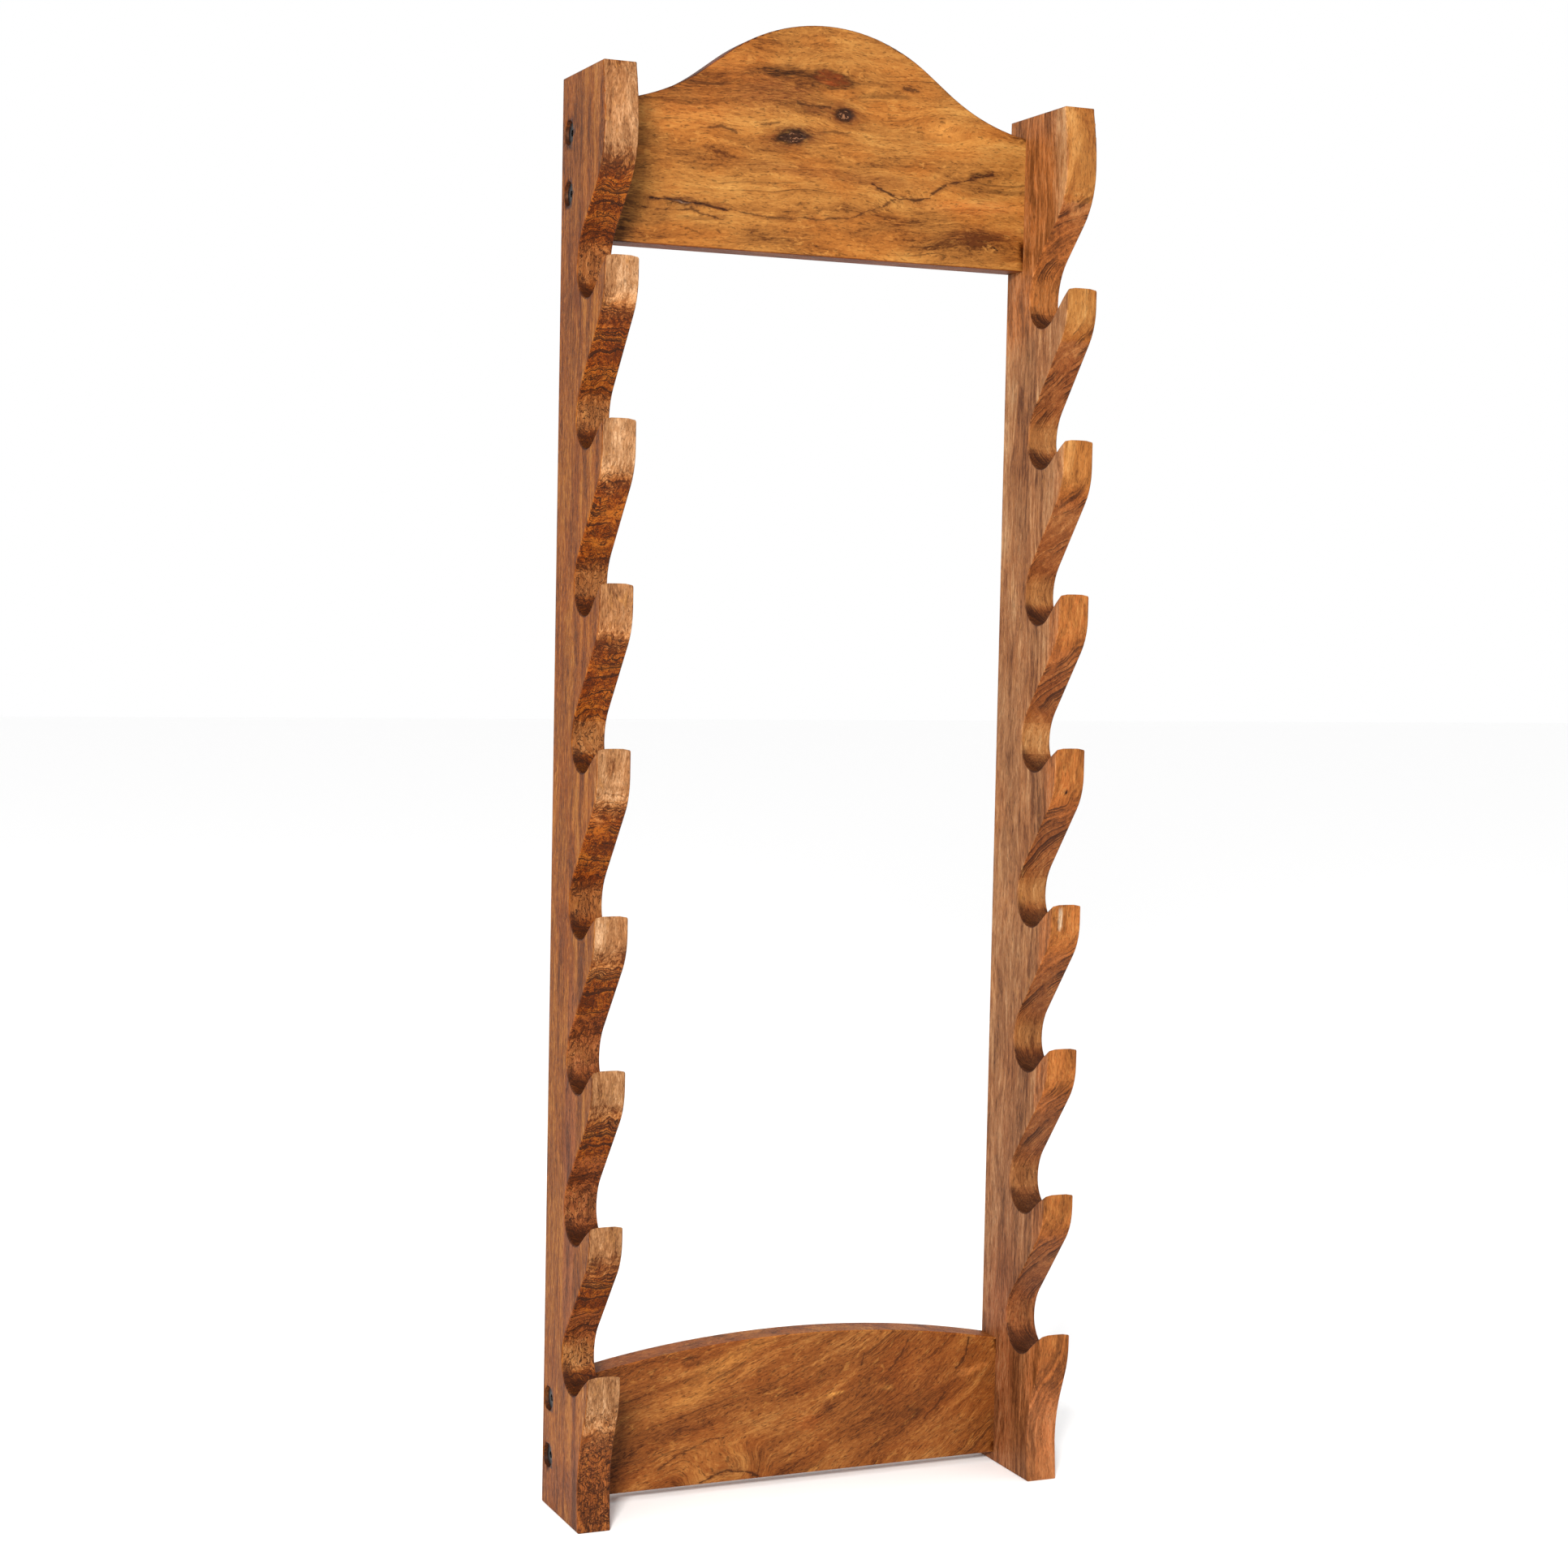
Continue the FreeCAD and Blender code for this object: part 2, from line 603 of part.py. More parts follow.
def draw_lower(sketch):
    """Front outline of the lower board: one shallow arch over a straight edge."""
    half = half_span()
    bottom, shoulder, apex = size["lower_bottom"], size["lower_shoulder"], size["lower_apex"]
    rise = apex - shoulder
    radius = (half * half + rise * rise) / (rise * 2)
    turn = math.degrees(math.asin(half.value / radius.value))
    base = line(sketch, place_at(-half, bottom), place_at(half, bottom))
    right_end = line(sketch, place_at(half, bottom), place_at(half, shoulder))
    arch = arc(sketch, place_at(0, apex - radius), radius.value, 90 - turn, 90 + turn)
    left_end = line(sketch, place_at(-half, shoulder), place_at(-half, bottom))
    join(sketch, "Coincident", (base, END), (right_end, START))
    join(sketch, "Coincident", (right_end, END), (arch, START))
    join(sketch, "Coincident", (arch, END), (left_end, START))
    join(sketch, "Coincident", (left_end, END), (base, START))
    level(sketch, base)
    plumb(sketch, right_end, left_end)
    bind_point(sketch, (base, START), -half, bottom)
    bind_point(sketch, (base, END), half)
    bind_point(sketch, (right_end, END), None, shoulder)
    bind_point(sketch, (left_end, START), None, shoulder)
    bind(sketch, "Radius", (arch,), radius)


def drill_ends(body, board):
    """A stepped hole for each insert and bolt tip, in both ends of a board."""
    for end, side in ((-half_span(), "left"), (half_span(), "right")):
        for name, radius, depth in (
                ("seat", size["insert_hole_radius"], size["insert_hole_depth"]),
                ("tip", size["clearance_radius"], size["tip_hole_depth"])):
            holes = new_sketch(body, "%s_%s_%s" % (board, side, name), "YZ_Plane",
                               (ZERO, ZERO, end))
            draw_bolt_circles(holes, board, radius)
            pocket(body, holes, depth, from_behind=side == "left")


def build_board(board, draw_outline):
    """A plank between the uprights. Its long edges are rounded and its ends stay square."""
    body = new_body(board + "_board")
    outline = new_sketch(body, board + "_outline", "XZ_Plane")
    draw_outline(outline)
    pad(body, outline, size["stock"])
    faces = (0, -size["stock"].value)
    end = half_span().value

    def is_long(edge):
        at_end = in_plane(edge, "x", end) or in_plane(edge, "x", -end)
        return not at_end and any(in_plane(edge, "y", face) for face in faces)

    rounded(body, is_long)
    drill_ends(body, board)
    place(body)
    return body


def cut_hanger_seats(body):
    """Recesses in the back of the crest board for the plates, their screws and the wall screws."""
    for sign, side in ((-1, "left"), (1, "right")):
        shift = (size["hanger_spacing"] * sign / 2, size["hanger_height"], ZERO)
        seat = new_sketch(body, side + "_seat", "XZ_Plane", shift)
        upright_slot(seat, -size["plate_reach"], size["plate_reach"], size["seat_radius"])
        pocket(body, seat, size["seat_depth"], from_behind=True)
        hollow = new_sketch(body, side + "_hollow", "XZ_Plane", shift)
        upright_slot(hollow, -size["keyhole_drop"], size["keyslot_rise"], size["pocket_radius"])
        pocket(body, hollow, size["pocket_depth"], from_behind=True)
        pilots = new_sketch(body, side + "_pilots", "XZ_Plane", shift)
        for offset in (size["plate_screw_offset"], -size["plate_screw_offset"]):
            circle(pilots, ZERO, offset, size["pilot_radius"])
        pocket(body, pilots, size["pilot_depth"], from_behind=True)


# ---------------------------------------------------------------- fasteners

def build_bolt(name):
    """A flat-headed bolt on its own X axis, with X at zero under the head and the head behind."""
    body = new_body(name)
    head, bevel = size["head_radius"], size["head_bevel"]
    top = -size["head_thickness"]
    shank, tip, chamfer = size["shank_radius"], size["shank_length"], size["shank_bevel"]
    profile = new_sketch(body, name + "_profile", "XY_Plane")
    polygon(profile, [(top, ZERO), (top, head - bevel), (top + bevel, head), (ZERO, head),
                      (ZERO, shank), (tip - chamfer, shank), (tip, shank - chamfer),
                      (tip, ZERO)])
    turned(body, profile, "Revolution")

    socket = new_sketch(body, name + "_socket", "YZ_Plane", (ZERO, ZERO, top))
    corner = size["socket_corner"]
    places = [Vector(math.cos(math.radians(60 * i)), math.sin(math.radians(60 * i)), 0)
              * corner.value for i in range(6)]
    sides = [line(socket, places[i], places[(i + 1) % 6]) for i in range(6)]
    rim = socket.addGeometry(Part.Circle(Vector(), UP, corner.value), True)
    for i, side in enumerate(sides):
        join(socket, "Coincident", (side, END), (sides[(i + 1) % 6], START))
        socket.addConstraint(Sketcher.Constraint("PointOnObject", side, START, rim))
        if i:
            socket.addConstraint(Sketcher.Constraint("Equal", sides[0], side))
    bind_point(socket, (rim, CENTRE), ZERO, ZERO)
    socket.addConstraint(Sketcher.Constraint("PointOnObject", sides[0], START, X_AXIS))
    bind(socket, "Radius", (rim,), corner)
    pocket(body, socket, size["socket_depth"], from_behind=True)

    groove = new_sketch(body, name + "_thread", "XY_Plane")
    start, half_mouth = size["thread_start"], size["thread_half_width"]
    polygon(groove, [(start - half_mouth, shank), (start, shank - size["thread_depth"]),
                     (start + half_mouth, shank)])
    first = turned(body, groove, "Groove")
    repeated(body, first, size["thread_pitch"], size["thread_grooves"])
    return body


def build_insert(name):
    """A ridged sleeve on its own X axis, with its mouth at X zero."""
    body = new_body(name)
    outer, bore, length = size["insert_radius"], size["insert_bore"], size["insert_length"]
    profile = new_sketch(body, name + "_profile", "XY_Plane")
    polygon(profile, [(ZERO, bore), (ZERO, outer), (length, outer), (length, bore)])
    turned(body, profile, "Revolution")
    groove = new_sketch(body, name + "_groove", "XY_Plane")
    start, half_mouth = size["ridge_start"], size["ridge_half_width"]
    polygon(groove, [(start - half_mouth, outer), (start, outer - size["ridge_depth"]),
                     (start + half_mouth, outer)])
    first = turned(body, groove, "Groove")
    repeated(body, first, size["ridge_pitch"], size["ridge_grooves"])
    return body


def build_joint(board, side, level_name):
    """The bolt and insert of one joint, lined up on the bolt's axis and facing inwards."""
    depth = -size[board + "_bolt_depth"]
    height = size["%s_bolt_%s" % (board, level_name)]
    sign = 1 if side == "left" else -1
    turn = 0 if side == "left" else 180
    under_head = size["rack_width"] / 2 - size["recess_depth"]
    mouth = half_span() - size["insert_setback"]
    label = "%s_%s_%s" % (board, side, level_name)
    place(build_bolt("bolt_" + label), under_head * -sign, depth, height, turn)
    place(build_insert("insert_" + label), mouth * -sign, depth, height, turn)


# ---------------------------------------------------------------- hangers

def build_hanger(side):
    """A keyhole plate and its two countersunk screws, let into the back of the crest board."""
    sign = -1 if side == "left" else 1
    x = size["hanger_spacing"] * sign / 2
    body = new_body("hanger_plate_" + side)
    outline = new_sketch(body, side + "_plate_outline", "XZ_Plane")
    upright_slot(outline, -size["plate_reach"], size["plate_reach"], size["plate_radius"])
    pad(body, outline, size["plate_thickness"])
    opening = new_sketch(body, side + "_plate_opening", "XZ_Plane")
    circle(opening, ZERO, -size["keyhole_drop"], size["keyhole_radius"])
    pocket(body, opening, size["plate_thickness"], from_behind=True)
    neck = new_sketch(body, side + "_plate_neck", "XZ_Plane")
    upright_slot(neck, -size["keyhole_drop"], size["keyslot_rise"], size["keyslot_radius"])
    pocket(body, neck, size["plate_thickness"], from_behind=True)
    holes = new_sketch(body, side + "_plate_holes", "XZ_Plane")
    for offset in (size["plate_screw_offset"], -size["plate_screw_offset"]):
        circle(holes, ZERO, offset, size["plate_hole_radius"])
    pocket(body, holes, size["plate_thickness"], from_behind=True)
    base = body.Tip
    names = ["Edge%d" % i for i, edge in enumerate(base.Shape.Edges, 1)
             if is_round(edge) and in_plane(edge, "y", 0)
             and abs(edge.Curve.Radius - size["plate_hole_radius"].value) < 1e-6]
    sink = body.newObject("PartDesign::Chamfer", side + "_plate_countersinks")
    sink.Base = (base, names)
    sink.setExpression("Size", (size["plate_hole_mouth"] - size["plate_hole_radius"]).text)
    doc.recompute()
    place(body, x, size["plate_thickness"] - size["seat_depth"], size["hanger_height"])

    for level_name, offset in (("upper", size["plate_screw_offset"]),
                               ("under", -size["plate_screw_offset"])):
        place(build_plate_screw("hanger_screw_%s_%s" % (side, level_name)), x,
              size["plate_thickness"] - size["seat_depth"], size["hanger_height"] + offset, -90)


def build_plate_screw(name):
    """A countersunk wood screw on its own X axis, with its flat head at X zero."""
    body = new_body(name)
    head, shank = size["plate_screw_head"], size["plate_screw_radius"]
    tip = size["plate_screw_length"]
    profile = new_sketch(body, name + "_profile", "XY_Plane")
    polygon(profile, [(ZERO, ZERO), (ZERO, head), (head - shank, shank),
                      (tip - size["plate_screw_point"], shank), (tip, ZERO)])
    turned(body, profile, "Revolution")
    return body


# ---------------------------------------------------------------- the rack

for side in ("left", "right"):
    build_upright(side)
cut_hanger_seats(build_board("crest", draw_crest))
build_board("lower", draw_lower)
for board in ("crest", "lower"):
    for side in ("left", "right"):
        for level_name in ("upper", "under"):
            build_joint(board, side, level_name)
for side in ("left", "right"):
    build_hanger(side)
doc.recompute()

for item in doc.Objects:
    if "Invalid" in item.State or "Error" in item.State:
        raise RuntimeError("%s failed: %s" % (item.Name, item.State))
for body in SUB_PARTS:
    shape = body.Shape
    if shape.isNull() or not shape.isValid() or len(shape.Solids) != 1:
        raise RuntimeError("%s isn't one sound solid" % body.Label)
for body in SUB_PARTS:
    body.Shape.exportStep("parts/%s.step" % body.Label)
    box = body.Shape.BoundBox
    print("%-26s %9.0f mm3  x %7.2f %7.2f  y %7.2f %7.2f  z %7.2f %7.2f" % (
        body.Label, body.Shape.Volume, box.XMin, box.XMax, box.YMin, box.YMax, box.ZMin, box.ZMax))
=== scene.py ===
"""Looks for the wooden weapon wall rack: four oiled planks, their bolts and the wall hangers."""

import math

import bmesh
import bpy
from mathutils import Matrix, Vector, noise


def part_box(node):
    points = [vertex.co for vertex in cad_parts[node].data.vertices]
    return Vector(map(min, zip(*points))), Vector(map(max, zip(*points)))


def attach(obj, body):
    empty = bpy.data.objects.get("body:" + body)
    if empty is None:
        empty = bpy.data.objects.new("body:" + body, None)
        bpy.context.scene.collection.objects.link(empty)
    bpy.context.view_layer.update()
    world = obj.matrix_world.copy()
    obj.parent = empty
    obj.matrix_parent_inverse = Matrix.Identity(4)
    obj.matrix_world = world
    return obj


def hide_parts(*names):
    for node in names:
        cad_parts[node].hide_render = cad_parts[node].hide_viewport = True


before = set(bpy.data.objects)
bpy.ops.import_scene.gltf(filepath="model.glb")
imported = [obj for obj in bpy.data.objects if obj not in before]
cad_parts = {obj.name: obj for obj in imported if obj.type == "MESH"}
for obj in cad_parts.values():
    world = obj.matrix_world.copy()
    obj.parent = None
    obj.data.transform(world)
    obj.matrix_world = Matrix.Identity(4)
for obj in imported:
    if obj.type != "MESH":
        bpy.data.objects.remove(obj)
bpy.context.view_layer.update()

scene = bpy.context.scene
scene.view_settings.view_transform = "Standard"


# ---------------------------------------------------------------- camera, light and floor

CAMERA_PLACE = Vector((-0.714, -1.590, 0.551))
CAMERA_AIM = Vector((-0.026, 0.0, 0.447))
CAMERA_ROLL = math.radians(1.16)
CAMERA_LENS = 64.65

# one square softbox to the front left, above the rack's middle
KEY_PLACE = Vector((-1.35, -2.25, 1.35))
KEY_AIM = Vector((0.0, 0.0, 0.45))
KEY_SIZE = 0.45
KEY_POWER = 105.0
KEY_COLOUR = (1.0, 0.98, 0.95)

FLOOR_REACH = 12.0


def make_camera():
    data = bpy.data.cameras.new("camera")
    data.lens = CAMERA_LENS
    data.sensor_width = 36.0
    data.clip_end = 100.0
    camera = bpy.data.objects.new("camera", data)
    look = (CAMERA_AIM - CAMERA_PLACE).to_track_quat("-Z", "Y").to_matrix()
    turned = look @ Matrix.Rotation(CAMERA_ROLL, 3, "Z")
    camera.matrix_world = Matrix.Translation(CAMERA_PLACE) @ turned.to_4x4()
    scene.collection.objects.link(camera)
    scene.camera = camera


def make_light():
    data = bpy.data.lights.new("key", "AREA")
    data.shape = "RECTANGLE"
    data.size = data.size_y = KEY_SIZE
    data.energy = KEY_POWER
    data.color = KEY_COLOUR
    light = bpy.data.objects.new("key", data)
    light.location = KEY_PLACE
    light.rotation_euler = (KEY_AIM - KEY_PLACE).to_track_quat("-Z", "Y").to_euler()
    scene.collection.objects.link(light)


def make_room():
    world = bpy.data.worlds.new("studio")
    world.use_nodes = True
    world.node_tree.nodes["Background"].inputs["Color"].default_value = (1.0, 1.0, 1.0, 1.0)
    world.node_tree.nodes["Background"].inputs["Strength"].default_value = 1.0
    scene.world = world
    corners = [(x * FLOOR_REACH, y * FLOOR_REACH, 0.0) for x, y in ((-1, -1), (1, -1), (1, 1), (-1, 1))]
    mesh = bpy.data.meshes.new("studio_floor")
    mesh.from_pydata(corners, [], [(0, 1, 2, 3)])
    floor = bpy.data.objects.new("studio_floor", mesh)
    scene.collection.objects.link(floor)
    paper = bpy.data.materials.new("studio_paper")
    paper.use_nodes = True
    paper.node_tree.nodes["Principled BSDF"].inputs["Base Color"].default_value = (0.97, 0.97, 0.97, 1.0)
    paper.node_tree.nodes["Principled BSDF"].inputs["Roughness"].default_value = 0.9
    mesh.materials.append(paper)
    make_light()


# ---------------------------------------------------------------- shader helpers


def srgb(red, green, blue):
    """A colour given as 0 to 255 display values, as the linear RGBA that shaders use."""
    linear = []
    for value in (red, green, blue):
        share = value / 255.0
        linear.append(share / 12.92 if share <= 0.04045 else ((share + 0.055) / 1.055) ** 2.4)
    return (*linear, 1.0)


class Graph:
    """A material and short calls that add its nodes. Each call returns the new node's output."""

    def __init__(self, name):
        self.material = bpy.data.materials.new(name)
        self.material.use_nodes = True
        self.nodes = self.material.node_tree.nodes
        self.links = self.material.node_tree.links
        self.shader = self.nodes["Principled BSDF"]

    def feed(self, socket, value):
        if isinstance(value, bpy.types.NodeSocket):
            self.links.new(value, socket)
        else:
            socket.default_value = value

    def node(self, kind, inputs, **settings):
        made = self.nodes.new(kind)
        for key, value in settings.items():
            setattr(made, key, value)
        for key, value in inputs.items():
            self.feed(made.inputs[key], value)
        return made

    def math(self, operation, *values):
        return self.node("ShaderNodeMath", dict(enumerate(values)), operation=operation).outputs[0]

    def vector(self, operation, *values):
        made = self.node("ShaderNodeVectorMath", dict(enumerate(values)), operation=operation)
        return made.outputs["Value" if operation in ("LENGTH", "DOT_PRODUCT", "DISTANCE") else "Vector"]

    def scaled(self, vector, factor):
        return self.node("ShaderNodeVectorMath", {0: vector, 3: factor}, operation="SCALE").outputs["Vector"]

    def combine(self, x, y, z):
        return self.node("ShaderNodeCombineXYZ", {0: x, 1: y, 2: z}).outputs[0]

    def separate(self, vector):
        return self.node("ShaderNodeSeparateXYZ", {0: vector}).outputs

    def noise(self, vector, scale=1.0, detail=2.0, roughness=0.5, distortion=0.0):
        inputs = {"Vector": vector, "Scale": scale, "Detail": detail}
        inputs.update({"Roughness": roughness, "Distortion": distortion})
        return self.node("ShaderNodeTexNoise", inputs).outputs["Fac"]

    def drift(self, vector, scale, detail=1.0):
        """Three noises at once, as a vector about zero."""
        made = self.node("ShaderNodeTexNoise", {"Vector": vector, "Scale": scale, "Detail": detail})
        return self.vector("SUBTRACT", made.outputs["Color"], (0.5, 0.5, 0.5))

    def bands(self, value, scale, detail=1.0, roughness=0.5):
        inputs = {"W": value, "Scale": scale, "Detail": detail, "Roughness": roughness}
        return self.node("ShaderNodeTexNoise", inputs, noise_dimensions="1D").outputs["Fac"]

    def fade(self, value, low, high, start=0.0, stop=1.0):
        inputs = {"Value": value, "From Min": low, "From Max": high, "To Min": start, "To Max": stop}
        return self.node("ShaderNodeMapRange", inputs, interpolation_type="SMOOTHSTEP").outputs["Result"]

    def blend(self, amount, first, second):
        made = self.nodes.new("ShaderNodeMix")
        made.data_type = "RGBA"
        self.feed(made.inputs[0], amount)
        self.feed(made.inputs[6], first)
        self.feed(made.inputs[7], second)
        return made.outputs[2]

    def ramp(self, value, stops):
        made = self.node("ShaderNodeValToRGB", {"Fac": value})
        ramp = made.color_ramp
        while len(ramp.elements) < len(stops):
            ramp.elements.new(0.5)
        for element, (place, colour) in zip(ramp.elements, stops):
            element.position = place
            element.color = colour
        return made.outputs["Color"]


# ---------------------------------------------------------------- wood

# Each plank has its own coordinates in millimetres, from a corner of the plank: along the grain,
# across it, and through the thickness. The pith is the line that the growth rings go round. The
# places of stains, knots and veins were read off, and are in those millimetres.
#   flow: how steeply the grain rises across the plank, how much steeper it gets, and from where
#   eddies: places where the grain runs in arcs round a centre, with the reach of each
#   bows: places that the grain goes round, with their half size and strength
#   stains and shadows: soft-edged ellipsoids of another colour; a few are painted shadow beside a joint
#   knots: dead knots and resin pockets, with a dark rim and a weathered heart
#   veins: thin dark lines through points on the plank's face

# half depth of a mark that goes right through a plank
THROUGH = 400.0

# height of an upright's top block, and how much deeper the sapwood runs per millimetre of it
TOP_BLOCK = 70.0
SAP_LEAN = 0.22

# reach of the painted shade round a bolt, just over the counterbore's radius
BORE_REACH = 7.8

# top of the scrawled figure at the foot of the left upright, and how gradually it ends
FOOT_TOP = 66.0
FOOT_BLUR = 18.0

COMMON_LOOK = {
    "wander": 20.0, "wrinkle": 4.0, "ring_gap": 14.0, "ring_weight": 0.9, "fine_weight": 0.6,
    "cloud_weight": 0.9, "streak_weight": 0.8, "fleck_weight": 0.5, "fleck_scale": (0.16, 0.85, 0.85),
    "line_gap": 8.0, "line_width": 0.03, "line_rarity": 0.45, "line_strength": 0.6,
    "squiggle_scale": (0.07, 0.26, 0.26), "squiggle_width": 0.018, "squiggle_rarity": 0.5,
    "squiggle_strength": 0.0, "red_strength": 0.5, "pore_strength": 0.35, "end_tint_and_shade": (0.6, 0.45, 0.36),
    "cross_contrast": 0.6, "side_contrast": 0.0, "hair": 0.7, "gild": 0.0, "flame_and_light": 0.0, "gloss": 0.09,
}


class Plank:
    def __init__(self, node, slot, axes, pith, pith_line, palette, look, seed,
                 flow=None, eddies=(), bows=(), stains_and_shadows=(), knots=(), veins=()):
        self.node = node
        self.slot = slot
        self.axes = axes
        self.origin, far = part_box(node)
        self.length = (far[axes[0]] - self.origin[axes[0]]) * 1000.0
        self.pith = pith
        self.pith_line = pith_line
        self.palette = palette
        self.look = {**COMMON_LOOK, **look}
        self.seed = seed
        self.flow = flow
        self.eddies = eddies
        self.bows = bows
        self.stains_and_shadows = stains_and_shadows
        self.knots = knots
        self.veins = veins


def plank_coordinates(g, plank):
    place = g.nodes.new("ShaderNodeTexCoord").outputs["Object"]
    parts = g.separate(g.scaled(g.vector("SUBTRACT", place, tuple(plank.origin)), 1000.0))
    return g.combine(*(parts[axis] for axis in plank.axes))


def stroke_distance(g, flat, start, end):
    """Distance in the plank's face from the straight stroke between two points."""
    start, end = Vector((*start, 0.0)), Vector((*end, 0.0))
    line = end - start
    from_start = g.vector("SUBTRACT", flat, tuple(start))
    share = g.math("MULTIPLY", g.vector("DOT_PRODUCT", from_start, tuple(line)), 1.0 / line.length_squared)
    on_line = g.scaled(tuple(line), g.node("ShaderNodeClamp", {0: share}).outputs[0])
    return g.vector("DISTANCE", from_start, on_line)


def ellipsoid_distance(g, where, centre, half, turn=0.0):
    """How far a place is from a centre, as a share of the ellipsoid's radius that way."""
    out = g.vector("SUBTRACT", where, tuple(centre))
    if turn:
        rotate = {"Vector": out, "Angle": math.radians(-turn)}
        out = g.node("ShaderNodeVectorRotate", rotate, rotation_type="Z_AXIS").outputs[0]
    return g.vector("LENGTH", g.vector("DIVIDE", out, tuple(half)))


def grain_coordinates(g, plank, where, seeded):
    """The plank's coordinates, bent so that the grain flows, eddies, bows and wanders."""
    along, across, through = g.separate(where)
    if plank.flow:
        slope, steepening, start = plank.flow
        beyond = g.math("MAXIMUM", g.math("SUBTRACT", along, start), 0.0)
        bend = g.math("MULTIPLY", g.math("MULTIPLY", beyond, beyond), steepening)
        rise = g.math("MULTIPLY_ADD", along, slope, bend)
        along = g.math("MULTIPLY_ADD", across, slope, along)
        across = g.math("SUBTRACT", across, rise)
    flat = g.vector("MULTIPLY", where, (1.0, 1.0, 0.0))
    for centre, reach in plank.eddies:
        radius = g.vector("DISTANCE", flat, (*centre, 0.0))
        share = g.fade(radius, reach, reach * 0.25, 0.0, 0.6)
        across = g.math("MULTIPLY_ADD", share, g.math("SUBTRACT", radius, across), across)
    grain = g.combine(along, across, through)
    for centre, half, strength in plank.bows:
        near = g.fade(ellipsoid_distance(g, where, centre, half), 1.0, 0.0)
        push = g.vector("MULTIPLY", g.vector("SUBTRACT", where, tuple(centre)), (0.0, -strength, 0.0))
        grain = g.vector("ADD", grain, g.scaled(push, near))
    wander, wrinkle = plank.look["wander"], plank.look["wrinkle"]
    slow = g.drift(g.vector("MULTIPLY", seeded, (0.007, 0.022, 0.022)), 1.0, 2.0)
    quick = g.drift(g.vector("MULTIPLY", seeded, (0.035, 0.13, 0.13)), 1.0, 3.0)
    grain = g.vector("ADD", grain, g.vector("MULTIPLY", slow, (0.0, wander, wander)))
    return g.vector("ADD", grain, g.vector("MULTIPLY", quick, (0.0, wrinkle, wrinkle)))


def ring_distance(g, plank, grain):
    """Distance from the pith's line."""
    out = g.vector("SUBTRACT", grain, tuple(plank.pith))
    line = Vector(plank.pith_line).normalized()
    drop = g.scaled(tuple(line), g.vector("DOT_PRODUCT", out, tuple(line)))
    return g.vector("LENGTH", g.vector("SUBTRACT", out, drop))


def thin_lines(g, value, width):
    """One where a noise passes through its middle, so that it draws thin wandering lines."""
    return g.fade(g.math("ABSOLUTE", g.math("SUBTRACT", value, 0.5)), width, width * 0.15)


def wood_tone(g, plank, grain, ring, fibre):
    """How light the wood is, from 0 to 1: growth rings, clouds, streaks, flecks and fibres."""
    look = plank.look
    cloud = g.noise(g.vector("MULTIPLY", grain, (0.014, 0.055, 0.055)), 1.0, 4.0, 0.6, 0.5)
    streak = g.noise(g.vector("MULTIPLY", grain, (0.040, 0.34, 0.34)), 1.0, 3.0, 0.6)
    fleck = g.noise(g.vector("MULTIPLY", grain, look["fleck_scale"]), 1.0, 3.0, 0.65, 0.4)
    layers = (
        (g.bands(ring, 1.0 / look["ring_gap"], 2.0), look["ring_weight"]),
        (g.bands(ring, 4.5 / look["ring_gap"], 3.0, 0.6), look["fine_weight"]),
        (cloud, look["cloud_weight"]),
        (streak, look["streak_weight"]),
        (fleck, look["fleck_weight"]),
        (fibre, look["fleck_weight"] * 0.7),
    )
    tone = 0.5
    for layer, weight in layers:
        tone = g.math("MULTIPLY_ADD", g.math("SUBTRACT", layer, 0.5), weight, tone)
    return tone


def add_knot(g, colour, ragged, fibre, centre, half, turn):
    """A dead knot: a reddish halo, a black rim, and a brown heart with pale splinters."""
    gap = ellipsoid_distance(g, ragged, centre, half, turn)
    halo = g.math("MULTIPLY", g.fade(gap, 3.0, 0.8), g.fade(fibre, 0.66, 0.40, 0.45, 0.95))
    colour = g.blend(halo, colour, BROWN)
    colour = g.blend(g.fade(gap, 1.5, 0.7, 0.0, 0.92), colour, BLACK)
    splinters = g.fade(fibre, 0.52, 0.60)
    heart = g.blend(splinters, HEART, SPLINTER)
    return g.blend(g.fade(gap, 0.85, 0.55, 0.0, 0.9), colour, heart)


def add_vein(g, colour, flat, broken, points, width, strength):
    """A thin dark line through points, uneven in width, with a soft brown border."""
    gap = None
    for start, end in zip(points, points[1:]):
        part = stroke_distance(g, flat, start, end)
        gap = part if gap is None else g.math("MINIMUM", gap, part)
    uneven = g.math("DIVIDE", gap, g.fade(broken, 0.36, 0.62, 0.35, 1.5))
    colour = g.blend(g.fade(uneven, width * 3.2, width * 0.5, 0.0, strength * 0.45), colour, BROWN)
    return g.blend(g.fade(uneven, width, width * 0.2, 0.0, strength), colour, DARK)


def bolt_places(plank):
    """Where bolts pass through a plank, in its own millimetres, from the bolts' boxes."""
    near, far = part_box(plank.node)
    places = []
    for name in sorted(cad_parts):
        if name.startswith("bolt_"):
            low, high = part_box(name)
            middle = (low + high) / 2
            if low.x < far.x and high.x > near.x:
                places.append(plank_place(plank, middle))
    return places


def paint_bore_shade(g, colour, plank, where):
    """Painted shade in the counterbores: the wood round each bolt is darkened."""
    flat = g.vector("MULTIPLY", where, (1.0, 1.0, 0.0))
    for place in bolt_places(plank):
        inside = g.fade(g.vector("DISTANCE", flat, (place.x, place.y, 0.0)), BORE_REACH, BORE_REACH - 0.4)
        colour = g.blend(g.math("MULTIPLY", inside, 0.85), colour, DARK)
    return colour


